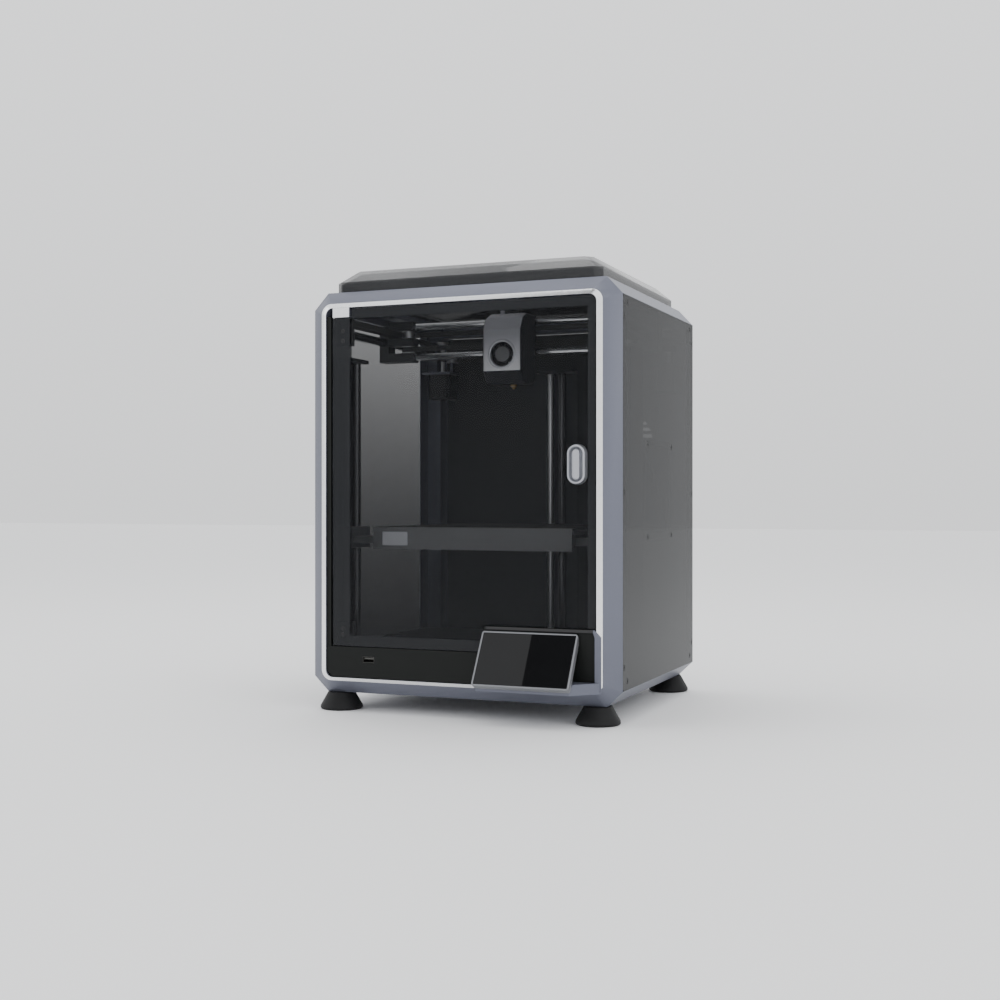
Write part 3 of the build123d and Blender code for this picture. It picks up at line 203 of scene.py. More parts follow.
soft_box("top_box", (-0.3, 0.3, 2.2), (0, 0, 0.3), (1.6, 1.4), 14)
soft_box("right_box", (2.0, -1.0, 1.2), (0, 0, 0.25), (0.9, 1.4), 5)
soft_box("left_box", (-1.9, -1.2, 1.0), (0, 0, 0.25), (0.9, 1.4), 4)

lens = bpy.data.cameras.new("camera")
lens.lens = 50.15
lens.sensor_width = 36.0
camera = bpy.data.objects.new("camera", lens)
camera.location = camera_place
camera.rotation_euler = (math.radians(89.94), 0.0, math.radians(22.1))
scene.collection.objects.link(camera)
scene.camera = camera

# ---------------------------------------------------------------- castings
# Four die castings make the frame: a bevelled ring at the front and one at the back, the top rim
# and the base tray. They are blasted and painted a fine metallic blue-grey; the shallow bevel
# round the front opening is milled bright after painting.


class Finish(Graph):
    """A material's node tree, with its Principled shader as the last step."""

    def __init__(self, name):
        self.material = bpy.data.materials.new(name)
        self.material.use_nodes = True
        super().__init__(self.material.node_tree)
        self.tree.nodes.clear()
        self.place = self.add("ShaderNodeTexCoord", out=3)

    def noise(self, scale, detail=2.0, roughness=0.5):
        return self.add("ShaderNodeTexNoise", None, {
            "Vector": self.place, "Scale": scale, "Detail": detail, "Roughness": roughness})

    def stretched(self, scale, factors):
        """Noise drawn out along an axis, for brushed and turned metal."""
        squeezed = self.add("ShaderNodeMapping", None, {"Vector": self.place, "Scale": factors})
        return self.add("ShaderNodeTexNoise", None, {"Vector": squeezed, "Scale": scale, "Detail": 3.0})

    def bump(self, height, depth, strength=1.0):
        return self.add("ShaderNodeBump", None, {"Height": height, "Distance": depth, "Strength": strength})

    def shade(self, **sockets):
        named = {name.replace("_", " "): value for name, value in sockets.items()}
        shader = self.add("ShaderNodeBsdfPrincipled", None, named)
        self.add("ShaderNodeOutputMaterial", None, {"Surface": shader})
        return self.material


def cast_paint():
    paint = Finish("cast_paint")
    flake = paint.noise(2600, 1.0)
    orange_peel = paint.noise(420, 2.0)
    cloud = paint.noise(9, 2.0)
    tone = paint.blend(cloud, (0.120, 0.127, 0.163, 1), (0.138, 0.146, 0.184, 1))
    tone = paint.blend(((flake - 0.52) * 2.2).clipped(), tone, (0.19, 0.20, 0.245, 1))
    return paint.shade(
        Base_Color=tone, Metallic=0.4, Roughness=0.36 + flake * 0.12, Specular_IOR_Level=0.5,
        Coat_Weight=0.1, Coat_Roughness=0.25, Normal=paint.bump(orange_peel + flake * 0.3, 0.00003, 0.4))


def milled_bright():
    milled = Finish("milled_bright")
    lines = milled.stretched(700, (0.3, 1.0, 0.3))
    return milled.shade(
        Base_Color=milled.blend(lines, (0.86, 0.87, 0.89, 1), (0.95, 0.955, 0.96, 1)), Metallic=0.9,
        Roughness=0.16 + lines * 0.1, Normal=milled.bump(lines, 0.00002, 0.35))


def dressed(node, *materials, soften=0.0004, crease=32.0):
    """A merged copy of a CAD node with softened edges and its own finish, in the node's place."""
    source = frame["nodes"][node]
    shell = bmesh.new()
    shell.from_mesh(source.data)
    bmesh.ops.remove_doubles(shell, verts=shell.verts, dist=2e-6)
    bmesh.ops.dissolve_limit(shell, angle_limit=math.radians(0.6), verts=shell.verts, edges=shell.edges)
    for side in shell.faces:
        side.smooth = True
    for edge in shell.edges:
        edge.smooth = edge.is_manifold and edge.calc_face_angle(0.0) < math.radians(crease)
    mesh = bpy.data.meshes.new(node + "_finished")
    shell.to_mesh(mesh)
    shell.free()
    if "custom_normal" in mesh.attributes:
        mesh.attributes.remove(mesh.attributes["custom_normal"])
    piece = bpy.data.objects.new(node + "_finished", mesh)
    scene.collection.objects.link(piece)
    for material in materials:
        mesh.materials.append(material)
    for side in mesh.polygons:
        side.material_index = 0
    if soften:
        edge_break = piece.modifiers.new("edge_break", "BEVEL")
        edge_break.width = soften
        edge_break.segments = 2
        edge_break.limit_method = "ANGLE"
        edge_break.angle_limit = math.radians(28)
    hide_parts(node)
    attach(piece, source["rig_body"])
    return piece


painted = cast_paint()
bright = milled_bright()
front = dressed("front_frame", painted, bright, soften=0.0006)
ring_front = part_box("front_frame")[0].y
for side in front.data.polygons:
    if side.center.y < ring_front + 0.0022 and side.normal.y < -0.25:
        side.material_index = 1
for casting in ("rear_frame", "top_frame", "base_tray"):
    dressed(casting, painted, soften=0.0006)

# ---------------------------------------------------------------- feet
# Four moulded rubber cones, screwed up into the tray from below.


def foot_rubber():
    rubber = Finish("foot_rubber")
    bloom = rubber.noise(60, 4.0, 0.6)
    pores = rubber.noise(1500, 2.0)
    return rubber.shade(
        Base_Color=rubber.blend(bloom, (0.006, 0.006, 0.0065, 1), (0.014, 0.014, 0.0145, 1)),
        Roughness=0.48 + bloom * 0.2, Specular_IOR_Level=0.22, Normal=rubber.bump(pores, 0.00008, 0.4))


dressed("rubber_feet", foot_rubber(), soften=0.0008)

# ---------------------------------------------------------------- sheet metal and moulded blacks
# Chamber floor and back sheet are powder-coated steel; the panel under the door, the blower and
# the fan case are black mouldings with a fine spark-eroded grain.


def powder_coat(name, dark, light):
    coat = Finish(name)
    grain = coat.noise(240, 2.0)
    cloud = coat.noise(12, 2.0)
    return coat.shade(
        Base_Color=coat.blend(cloud, (*dark, 1), (*light, 1)), Metallic=0.1,
        Roughness=0.58 + grain * 0.06, Normal=coat.bump(grain, 0.00001, 0.2))


def moulded(name, dark, light, rough=0.42, sheen=0.5):
    moulding = Finish(name)
    grain = moulding.noise(1300, 2.0, 0.55)
    cloud = moulding.noise(18, 2.0)
    return moulding.shade(
        Base_Color=moulding.blend(cloud, (*dark, 1), (*light, 1)),
        Roughness=rough + grain * 0.15, Specular_IOR_Level=sheen, Normal=moulding.bump(grain, 0.00002, 0.3))


sheet_black = powder_coat("sheet_black", (0.016, 0.017, 0.019), (0.024, 0.025, 0.028))
black_moulding = moulded("black_moulding", (0.012, 0.012, 0.013), (0.02, 0.02, 0.021))
base_moulding = moulded("base_moulding", (0.008, 0.009, 0.0084), (0.011, 0.012, 0.0113), 0.38, 0.14)
dressed("chamber_floor", sheet_black, soften=0.0003)
dressed("rear_panel", sheet_black, soften=0.0)
dressed("z_columns", sheet_black, soften=0.0003)
dressed("front_base_panel", base_moulding, soften=0.0004)
dressed("camera", black_moulding, soften=0.0005)
for moulding_node in ("aux_fan_housing", "exhaust_fan_housing", "power_inlet", "power_rocker"):
    dressed(moulding_node, black_moulding, soften=0.0003)

# ---------------------------------------------------------------- USB port
# A pressed shell plated in black nickel, with its tongue, set in the panel under the door.


def blackened():
    nickel = Finish("black_nickel")
    lines = nickel.stretched(900, (1.0, 0.15, 1.0))
    return nickel.shade(Base_Color=(0.075, 0.074, 0.070, 1), Metallic=0.9, Roughness=0.24 + lines * 0.14,
                        Normal=nickel.bump(lines, 0.00002, 0.3))


dressed("usb_port", blackened(), soften=0.0001)

# ---------------------------------------------------------------- side panels
# Sheets of smoked acrylic, polished on both faces and bevelled at the ends. The tint is made denser
# towards the bottom as painted shade, standing in for the darker lower chamber.


def smoked_sheet(name, clear_top, clear_bottom_under_painted_shade, low, high, tint):
    sheet = Finish(name)
    smear = sheet.noise(7, 3.0, 0.6)
    # opacity rises towards the bottom: painted shade, not a change in the sheet itself
    rise = sheet.add("ShaderNodeMapRange", None, {0: sheet.split(sheet.place)[2], 1: low, 2: high,
                                                   3: clear_bottom_under_painted_shade, 4: clear_top})
    return sheet.shade(
        Base_Color=(*tint, 1), Roughness=0.04 + smear * 0.05, IOR=1.13,
        Alpha=1.0 - rise, Normal=sheet.bump(smear, 0.0003, 0.1))


panel_low, panel_high = (corner.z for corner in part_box("side_panel_right"))
# clearer at the top than at the bottom; the difference is painted shade
left_tint = smoked_sheet("left_tint", 0.52, 0.08, panel_low, panel_high, (0.020, 0.023, 0.028))
right_tint = smoked_sheet("right_tint", 0.26, 0.04, panel_low, panel_high, (0.024, 0.025, 0.026))
dressed("side_panel_left", left_tint, soften=0.0003)
dressed("side_panel_right", right_tint, soften=0.0003)

# ---------------------------------------------------------------- panel screws
# Black socket screws, their heads sunk in the sheets: one tree makes the head with its hexagon
# and sets a copy at each point, turned to face out of the panel.


class Recipe(Graph):
    """A Geometry Nodes tree with named sizes, run on a mesh of points or a path."""

    def __init__(self, name, sizes):
        super().__init__(bpy.data.node_groups.new(name, "GeometryNodeTree"))
        face = self.tree.interface
        face.new_socket("Base", in_out="INPUT", socket_type="NodeSocketGeometry")
        self.keys = {size: face.new_socket(size, in_out="INPUT", socket_type="NodeSocket" + kind).identifier
                     for size, kind in sizes.items()}
        face.new_socket("Result", in_out="OUTPUT", socket_type="NodeSocketGeometry")
        entry = self.tree.nodes.new("NodeGroupInput")
        self.base = Field(self, entry.outputs[0])
        self.size = {size: Field(self, entry.outputs[size]) for size in sizes}

    def finish(self, geometry, material):
        solid = self.add("GeometryNodeRealizeInstances", None, {"Geometry": geometry})
        coated = self.add("GeometryNodeSetMaterial", None, {"Geometry": solid, "Material": material})
        exit_node = self.tree.nodes.new("NodeGroupOutput")
        self.tree.links.new(coated.socket, exit_node.inputs[0])

    def make(self, name, mesh, sizes, crease=35.0):
        """Runs the tree on a mesh and returns the result as a plain object."""
        seed = bpy.data.objects.new(name + "_points", mesh)
        scene.collection.objects.link(seed)
        run = seed.modifiers.new("recipe", "NODES")
        run.node_group = self.tree
        for size, value in sizes.items():
            run[self.keys[size]] = value
        seed.update_tag()
        view = bpy.context.evaluated_depsgraph_get()
        made = bpy.data.meshes.new_from_object(seed.evaluated_get(view))
        made.name = name
        bpy.data.objects.remove(seed)
        shell = bmesh.new()
        shell.from_mesh(made)
        bmesh.ops.remove_doubles(shell, verts=shell.verts, dist=1e-7)
        bmesh.ops.recalc_face_normals(shell, faces=shell.faces)
        for side in shell.faces:
            side.smooth = True
        for edge in shell.edges:
            edge.smooth = edge.is_manifold and edge.calc_face_angle(0.0) < math.radians(crease)
        shell.to_mesh(made)
        shell.free()
        piece = bpy.data.objects.new(name, made)
        scene.collection.objects.link(piece)
        return piece


def points(name, places, facings):
    """A mesh of loose points, each with the direction that its copy faces."""
    mesh = bpy.data.meshes.new(name)
    mesh.from_pydata([tuple(place) for place in places], [], [])
    facing = mesh.attributes.new("facing", "FLOAT_VECTOR", "POINT")
    for i, direction in enumerate(facings):
        facing.data[i].vector = direction
    return mesh


def socket_screw(material):
    """Round head with a chamfered rim and a hexagon, standing on the point it is set at."""
    screw = Recipe("socket_screw", {"Head Radius": "Float", "Head Height": "Float", "Key Radius": "Float"})
    radius, tall, key = (screw.size[s] for s in ("Head Radius", "Head Height", "Key Radius"))
    head = screw.add("GeometryNodeMeshCylinder", None, {
        "Vertices": 28, "Radius": radius, "Depth": tall * 0.7})
    rim = screw.add("GeometryNodeMeshCone", None, {
        "Vertices": 28, "Radius Bottom": radius, "Radius Top": radius * 0.86, "Depth": tall * 0.3})
    up = screw.add("ShaderNodeCombineXYZ", None, {"Z": tall * 0.35})
    rim = screw.add("GeometryNodeTransform", None, {"Geometry": rim, "Translation": up})
    solid = screw.add("GeometryNodeMeshBoolean", {"operation": "UNION", "solver": "EXACT"}, {"Mesh 2": head})
    screw.tree.links.new(rim.socket, solid.socket.node.inputs["Mesh 2"])
    hexagon = screw.add("GeometryNodeMeshCylinder", None, {"Vertices": 6, "Radius": key, "Depth": tall * 2.0})
    above = screw.add("ShaderNodeCombineXYZ", None, {"Z": tall * 1.15})
    hexagon = screw.add("GeometryNodeTransform", None, {"Geometry": hexagon, "Translation": above})
    head = screw.add("GeometryNodeMeshBoolean", {"operation": "DIFFERENCE", "solver": "EXACT"}, {
        "Mesh 1": solid, "Mesh 2": hexagon})
    direction = screw.add("GeometryNodeInputNamedAttribute", {"data_type": "FLOAT_VECTOR"},
                          {"Name": "facing"})
    turn = screw.add("FunctionNodeAlignRotationToVector", {"axis": "Z"}, {"Vector": direction})
    copies = screw.add("GeometryNodeInstanceOnPoints", None, {
        "Points": screw.base, "Instance": head, "Rotation": turn})
    screw.finish(copies, material)
    return screw


def blued_steel():
    steel = Finish("blued_steel")
    grain = steel.noise(1200, 2.0)
    return steel.shade(Base_Color=steel.blend(grain, (0.004, 0.004, 0.005, 1), (0.009, 0.009, 0.010, 1)),
                       Metallic=0.2, Roughness=0.42 + grain * 0.15, Normal=steel.bump(grain, 0.00003, 0.3))


blued = blued_steel()
screw_recipe = socket_screw(blued)


def islands(node):
    """Middle and size of each separate solid of a CAD node."""
    shell = bmesh.new()
    shell.from_mesh(frame["nodes"][node].data)
    bmesh.ops.remove_doubles(shell, verts=shell.verts, dist=1e-5)
    found, seen = [], set()
    for start in shell.verts:
        if start.index in seen:
            continue
        stack, island = [start], []
        seen.add(start.index)
        while stack:
            vert = stack.pop()
            island.append(vert.co.copy())
            for edge in vert.link_edges:
                other = edge.other_vert(vert)
                if other.index not in seen:
                    seen.add(other.index)
                    stack.append(other)
        low = Vector(min(co[i] for co in island) for i in range(3))
        high = Vector(max(co[i] for co in island) for i in range(3))
        found.append((low, high))
    shell.free()
    return found


heads, facings = [], []
for low, high in islands("panel_screws"):
    out = 1.0 if high.x > 0 else -1.0
    face = high.x if out > 0 else low.x
    heads.append((face - out * 0.00075, (low.y + high.y) / 2, (low.z + high.z) / 2))
    facings.append((out, 0.0, 0.0))
side_screws = screw_recipe.make("side_screws", points("side_screw_points", heads, facings),
                                {"Head Radius": 0.0030, "Head Height": 0.0013, "Key Radius": 0.0013})
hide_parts("panel_screws")
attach(side_screws, "housing")

holder = next(mount for mount in frame["record"]["mounts"] if mount["name"] == "spool_holder_bolts")
holder_at, holder_size = Vector(holder["pos_m"]), holder["dims"]
plug_places = [(holder_at.x + dx * holder_size["spacing_x_mm"] / 2000, holder_at.y - 0.0016,
                holder_at.z + dz * holder_size["spacing_y_mm"] / 2000) for dx in (-1, 1) for dz in (-1, 1)]
plugs = screw_recipe.make("holder_plugs", points("plug_points", plug_places, [(0, 1, 0)] * 4), {
    "Head Radius": holder_size["hole_r_mm"] / 1000 - 0.00002, "Head Height": 0.0016, "Key Radius": 0.0009})
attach(plugs, "housing")

# ---------------------------------------------------------------- door
# One sheet of smoked safety glass with polished edges. A black border is printed round the back
# of it, wide along the hinges, and a step is cut out for the screen and the hinge tab.


def door_tint():
    low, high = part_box("door_glass")
    glass = Finish("door_tint")
    across, _, rise = glass.split(glass.place)
    border = (across < low.x + 0.0205) + (across > high.x - 0.0082) + (rise > high.z - 0.0105)
    border = (border + (rise < low.z + 0.0115)).clipped()
    smear = glass.noise(6, 3.0, 0.6)
    # the sheet is made denser towards the bottom: painted shade for the darker lower chamber, on top of the
    # even smoke tint
    tint = glass.add("ShaderNodeMapRange", None, {0: rise, 1: low.z, 2: high.z, 3: 0.36, 4: 0.17})
    return glass.shade(
        Base_Color=(0.012, 0.013, 0.015, 1), Roughness=0.02 + smear * 0.04, IOR=1.3,
        Alpha=tint + (0.90 - tint) * border, Normal=glass.bump(smear, 0.0003, 0.06))


dressed("door_glass", door_tint(), soften=0.0004)
dressed("door_hinge_leaves", black_moulding, soften=0.0004)

leaf_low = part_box("door_hinge_leaves")[0]
glass_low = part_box("door_glass")[0]
leaf_screw_x = leaf_low.x + 0.010
leaf_screws = [(leaf_screw_x, glass_low.y + 0.0002, z) for z in (0.4125, 0.402, 0.090, 0.0835)]
hinge_screws = screw_recipe.make("hinge_screws", points("hinge_screw_points", leaf_screws, [(0, -1, 0)] * 4),
                                 {"Head Radius": 0.0024, "Head Height": 0.0008, "Key Radius": 0.0011})
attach(hinge_screws, "door")

# ---------------------------------------------------------------- door pull
# A die-cast pull: a capsule-shaped cup with a flat rim and one upright bar left standing in the
# hollow, plated satin silver. Two screws hold it through the glass.


def satin_silver():
    silver = Finish("satin_silver")
    grain = silver.noise(1600, 2.0)
    return silver.shade(Base_Color=silver.blend(grain, (0.36, 0.37, 0.40, 1), (0.46, 0.47, 0.50, 1)),
                        Metallic=0.75, Roughness=0.26 + grain * 0.12, Normal=silver.bump(grain, 0.00003, 0.3))


def capsule_ring(middle, half_width, half_length, depth, count=20):
    """Points of an upright capsule outline at one depth."""
    bend = half_length - half_width
    ring = []
    for i in range(2 * count):
        angle = math.pi * (i + 0.5) / count
        shift = bend if angle < math.pi else -bend
        ring.append((middle[0] + half_width * math.cos(angle), depth,
                     middle[1] + shift + half_width * math.sin(angle)))
    return ring


def stacked(name, rings, material, close_start=True, close_end=True, crease=30.0):
    """A skin over a row of closed outlines with the same number of points."""
    shell = bmesh.new()
    rows = [[shell.verts.new(point) for point in ring] for ring in rings]
    count = len(rows[0])
    for row, following in zip(rows, rows[1:]):
        for i in range(count):
            j = (i + 1) % count
            shell.faces.new((row[i], row[j], following[j], following[i]))
    if close_start:
        shell.faces.new(list(reversed(rows[0])))
    if close_end:
        shell.faces.new(rows[-1])
    bmesh.ops.recalc_face_normals(shell, faces=shell.faces)
    for side in shell.faces:
        side.smooth = True
    for edge in shell.edges:
        edge.smooth = edge.is_manifold and edge.calc_face_angle(0.0) < math.radians(crease)
    mesh = bpy.data.meshes.new(name)
    shell.to_mesh(mesh)
    shell.free()
    mesh.materials.append(material)
    piece = bpy.data.objects.new(name, mesh)
    scene.collection.objects.link(piece)
    return piece


silver = satin_silver()
pull_low, pull_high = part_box("door_handle")
pull_at = ((pull_low.x + pull_high.x) / 2, (pull_low.z + pull_high.z) / 2)
wide, tall = (pull_high.x - pull_low.x) / 2, (pull_high.z - pull_low.z) / 2
glass_face = glass_low.y
rim = 0.0088
steps = [(0.0, 0.0), (0.0, 0.0030), (0.0004, rim - 0.0022), (0.0006, rim - 0.0008), (0.0012, rim - 0.0001),
         (0.0018, rim), (0.0024, rim - 0.0001), (0.0030, rim - 0.0009), (0.0036, rim - 0.0030),
         (0.0046, rim - 0.0044), (0.0070, rim - 0.0050)]
pull = stacked("pull_cup", [capsule_ring(pull_at, wide - inset, tall - inset, glass_face - reach)
                            for inset, reach in steps], silver)
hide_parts("door_handle")
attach(pull, "door")
bar_steps = [(0.0, rim - 0.0052), (0.0, rim - 0.0014), (0.0003, rim - 0.0006), (0.0010, rim - 0.0001),
             (0.0018, rim)]
bar_at = (pull_at[0] + 0.0006, pull_at[1])
bar = stacked("pull_bar", [capsule_ring(bar_at, 0.0034 - inset, tall - 0.0052 - inset, glass_face - reach)
                           for inset, reach in bar_steps], silver)
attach(bar, "door")

# ---------------------------------------------------------------- lid
# A thermoformed lid of clear smoked sheet with an upright wall, sloped shoulders and a flat top.


def lid_tint():
    lid = Finish("lid_tint")
    rise = lid.split(lid.place)[2]
    wall = ((0.4684 - rise) * 4000.0).clipped()
    smear = lid.noise(6, 3.0, 0.6)
    return lid.shade(
        Base_Color=(0.02, 0.021, 0.023, 1), Roughness=0.03 + smear * 0.05, IOR=1.35,
        Alpha=0.55 + wall * 0.27, Normal=lid.bump(smear, 0.0003, 0.08))


dressed("lid_shell", lid_tint(), soften=0.0005)

# ---------------------------------------------------------------- screen
# A slim painted case holding bonded black glass, tilted back on a painted surround that wraps the
# front casting's corner. The display is dark.


def screen_face():
    black = Finish("screen_face")
    smear = black.noise(25, 3.0, 0.6)
    return black.shade(
        Base_Color=black.blend(smear, (0.0035, 0.0036, 0.004, 1), (0.006, 0.0062, 0.007, 1)),
        Roughness=0.004 + smear * 0.01, IOR=1.36, Normal=black.bump(smear, 0.0001, 0.01))


def bracket_paint():
    """The casting's paint on the arm and ledge; the bar along the top is masked and left black."""
    paint = Finish("bracket_paint")
    across, _, up = paint.split(paint.place)
    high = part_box("screen_bracket")[1]
    bar = ((up - (high.z - 0.0045)) * 4000.0).clipped() * ((high.x - 0.008 - across) * 4000.0).clipped()
    grain = paint.noise(1500, 2.0)
    return paint.shade(Base_Color=paint.blend(bar, (0.128, 0.135, 0.172, 1), (0.010, 0.010, 0.011, 1)),
                       Metallic=0.4 - bar * 0.4, Roughness=0.40 + grain * 0.1,
                       Normal=paint.bump(grain, 0.00002, 0.3))


def bezel_paint():
    bezel = Finish("bezel_paint")
    grain = bezel.noise(1500, 2.0)
    return bezel.shade(Base_Color=bezel.blend(grain, (0.20, 0.205, 0.22, 1), (0.26, 0.265, 0.28, 1)),
                       Metallic=0.5, Roughness=0.30 + grain * 0.1, Normal=bezel.bump(grain, 0.00002, 0.3))


dressed("screen_bracket", bracket_paint(), soften=0.0006)
dressed("screen_housing", bezel_paint(), soften=0.0005)
dressed("screen_glass", screen_face(), soften=0.0003)

# ---------------------------------------------------------------- rods, motors and pulleys
# Ground rods carry the blocks, the head and the bed: chromed for the head, blackened for the
# rest. The motors are laminated steel between die-cast ends; pulleys and idlers are turned
# aluminium.


def ground_rod(name, tone):
    chrome = Finish(name)
    rings = chrome.noise(800, 1.0)
    return chrome.shade(Base_Color=(*tone, 1), Metallic=1.0, Roughness=0.16 + rings * 0.06,
                        Normal=chrome.bump(rings, 0.00001, 0.2))


def turned(name, colour, rough=0.25):
    lathe = Finish(name)
    rings = lathe.stretched(500, (0.2, 0.2, 2.0))
    return lathe.shade(Base_Color=lathe.blend(rings, (*[c * 0.85 for c in colour], 1), (*colour, 1)),
                       Metallic=1.0, Roughness=rough + rings * 0.14, Normal=lathe.bump(rings, 0.00003, 0.4))


def motor_steel():
    stack = Finish("motor_laminations")
    rise = stack.split(stack.place)[2]
    leaves = rise.work("SINE", rise * 9000.0) * 0.5 + 0.5
    grime = stack.noise(50, 2.0)
    return stack.shade(Base_Color=stack.blend(leaves, (0.018, 0.018, 0.02, 1), (0.034, 0.034, 0.037, 1)),
                       Metallic=0.5, Roughness=0.36 + grime * 0.14, Normal=stack.bump(leaves, 0.0001, 0.4))


silver_turned = turned("turned_aluminium", (0.70, 0.71, 0.73))
brass_turned = turned("turned_brass", (0.70, 0.50, 0.22), 0.22)
laminated = motor_steel()
dressed("guide_rods", ground_rod("blackened_rods", (0.10, 0.10, 0.105)), soften=0.0002)
dressed("x_rods", ground_rod("chromed_rods", (0.62, 0.63, 0.65)), soften=0.0002)
dressed("xy_motors", laminated, soften=0.0004)
dressed("z_motor", laminated, soften=0.0004)
for wheel in ("motor_pulley_left", "motor_pulley_right", "front_idler_left", "front_idler_right",
              "rear_idler_left", "rear_idler_right", "gantry_idler_left_upper", "gantry_idler_left_lower",
              "gantry_idler_right_upper", "gantry_idler_right_lower", "z_motor_pulley"):
    dressed(wheel, silver_turned, soften=0.0001)


def dark_cast():
    cast = Finish("dark_cast")
    grain = cast.noise(900, 3.0, 0.6)
    return cast.shade(Base_Color=cast.blend(grain, (0.030, 0.031, 0.034, 1), (0.048, 0.049, 0.053, 1)),
                      Metallic=0.35, Roughness=0.42 + grain * 0.15, Normal=cast.bump(grain, 0.00002, 0.3))


dark_metal = dark_cast()
dressed("gantry_blocks", dark_metal, soften=0.0005)
dressed("toolhead_carriage", dark_metal, soften=0.0005)

# ---------------------------------------------------------------- bed
# A cast carrier with a deep front skirt, the heater plate, and a sprung steel sheet with a
# textured coating on top.


def coated_sheet():
    sheet = Finish("textured_sheet")
    pebble = sheet.noise(2200, 2.0, 0.6)
    cloud = sheet.noise(14, 3.0)
    return sheet.shade(Base_Color=sheet.blend(cloud, (0.020, 0.019, 0.017, 1), (0.032, 0.030, 0.027, 1)),
                       Metallic=0.1, Roughness=0.5 + pebble * 0.2, Normal=sheet.bump(pebble, 0.0002, 0.5))




def skirt_paint():
    skirt = Finish("skirt_paint")
    grain = skirt.noise(500, 2.0)
    return skirt.shade(Base_Color=skirt.blend(grain, (0.105, 0.107, 0.112, 1), (0.120, 0.122, 0.128, 1)),
                       Metallic=0.15, Roughness=0.42 + grain * 0.1, Normal=skirt.bump(grain, 0.00001, 0.2))


dressed("bed_carrier", skirt_paint(), soften=0.0006)
carrier_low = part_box("bed_carrier")[0]
skirt_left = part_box("heater_plate")[0].x


def thin_plate(name, low, high, corner, material):
    """A flat plate with rounded corners and a softened rim, facing the front."""
    def outline(inset, depth):
        ring = []
        radius = corner - inset
        for quarter in range(4):
            x = (high.x - corner) if quarter in (0, 3) else (low.x + corner)
            z = (high.z - corner) if quarter in (0, 1) else (low.z + corner)
            for i in range(7):
                angle = math.pi / 2 * (quarter + i / 6)
                ring.append((x + radius * math.cos(angle), depth, z + radius * math.sin(angle)))
        return ring
    soft = min(0.0003, (high.y - low.y) / 2)
    return stacked(name, [outline(0.0, high.y), outline(0.0, low.y + soft), outline(soft, low.y)], material)


badge_low = Vector((skirt_left + 0.0104, carrier_low.y - 0.0006, carrier_low.z + 0.0042))
badge_high = Vector((badge_low.x + 0.0305, carrier_low.y + 0.0004, badge_low.z + 0.0150))
badge = thin_plate("blank_badge", badge_low, badge_high, 0.0014, silver)
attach(badge, "bed")

dressed("heater_plate", silver_turned, soften=0.0004)
dressed("build_plate", coated_sheet(), soften=0.0003)
dressed("bed_bushings", brass_turned, soften=0.0003)
for shaft in ("z_screw_left", "z_screw_right", "z_screw_rear"):
    dressed(shaft, silver_turned, soften=0.0002)

# ---------------------------------------------------------------- print head
# A moulded hood with a satin silver face and charcoal sides, clipped over the extruder. Its downward
# faces are painted charcoal as painted shade, and the silver face is painted lighter towards the
# bottom as painted light. A bright ring frames the mouth of the hot end's fan, whose hub nearly fills it.


def hood_shell():
    shell = Finish("hood_shell")
    out = shell.split(shell.add("ShaderNodeNewGeometry", out=1))
    # silver only where the normal faces front: sideways faces are the charcoal sides, and downward faces are
    # painted charcoal as painted shade
    silver_face_clear_of_painted_chin_shade = ((0.62 - out[0].work("ABSOLUTE", out[0])) * 9.0).clipped() * ((out[2] + 0.22) * 10.0).clipped()
    grain = shell.noise(1600, 2.0)
    low, high = (corner.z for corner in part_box("toolhead_cover"))
    # the silver is painted lighter towards the bottom and darker towards the top: painted light
    rise = shell.add("ShaderNodeMapRange", None, {
        0: shell.split(shell.place)[2], 1: low + 0.012, 2: high - 0.03})
    silver_with_painted_light = shell.blend(rise, (0.70, 0.71, 0.74, 1), (0.34, 0.345, 0.38, 1))
    tone = shell.blend(silver_face_clear_of_painted_chin_shade, (0.020, 0.020, 0.025, 1), silver_with_painted_light)
    return shell.shade(Base_Color=tone, Metallic=0.1 + silver_face_clear_of_painted_chin_shade * 0.2, Roughness=0.36 + grain * 0.1,
                       Normal=shell.bump(grain, 0.00002, 0.3))


dressed("toolhead_cover", hood_shell(), soften=0.0012)
hood_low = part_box("toolhead_cover")[0]
rotor_low, rotor_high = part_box("hotend_fan_rotor")
fan_at = (rotor_low + rotor_high) / 2


def round_ring(middle, radius, depth, count=48):
    """Points of a circle that faces the front, at one depth."""
    return [(middle.x + radius * math.cos(math.tau * i / count), depth,
             middle.z + radius * math.sin(math.tau * i / count)) for i in range(count)]


mouth = 0.0138
mouth_steps = [(mouth, -0.0040), (mouth, 0.0001), (mouth + 0.0004, 0.0004), (mouth + 0.0012, 0.0006),
               (mouth + 0.0024, 0.0005), (mouth + 0.0032, 0.0001), (mouth + 0.0034, -0.0004),
               (mouth + 0.0030, -0.0040)]
rim_rings = [round_ring(fan_at, radius, hood_low.y - reach) for radius, reach in mouth_steps]
rim_rings.append(round_ring(fan_at, mouth, hood_low.y + 0.0040))
fan_rim = stacked("fan_mouth_rim", rim_rings, silver, close_start=False, close_end=False)
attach(fan_rim, "toolhead")


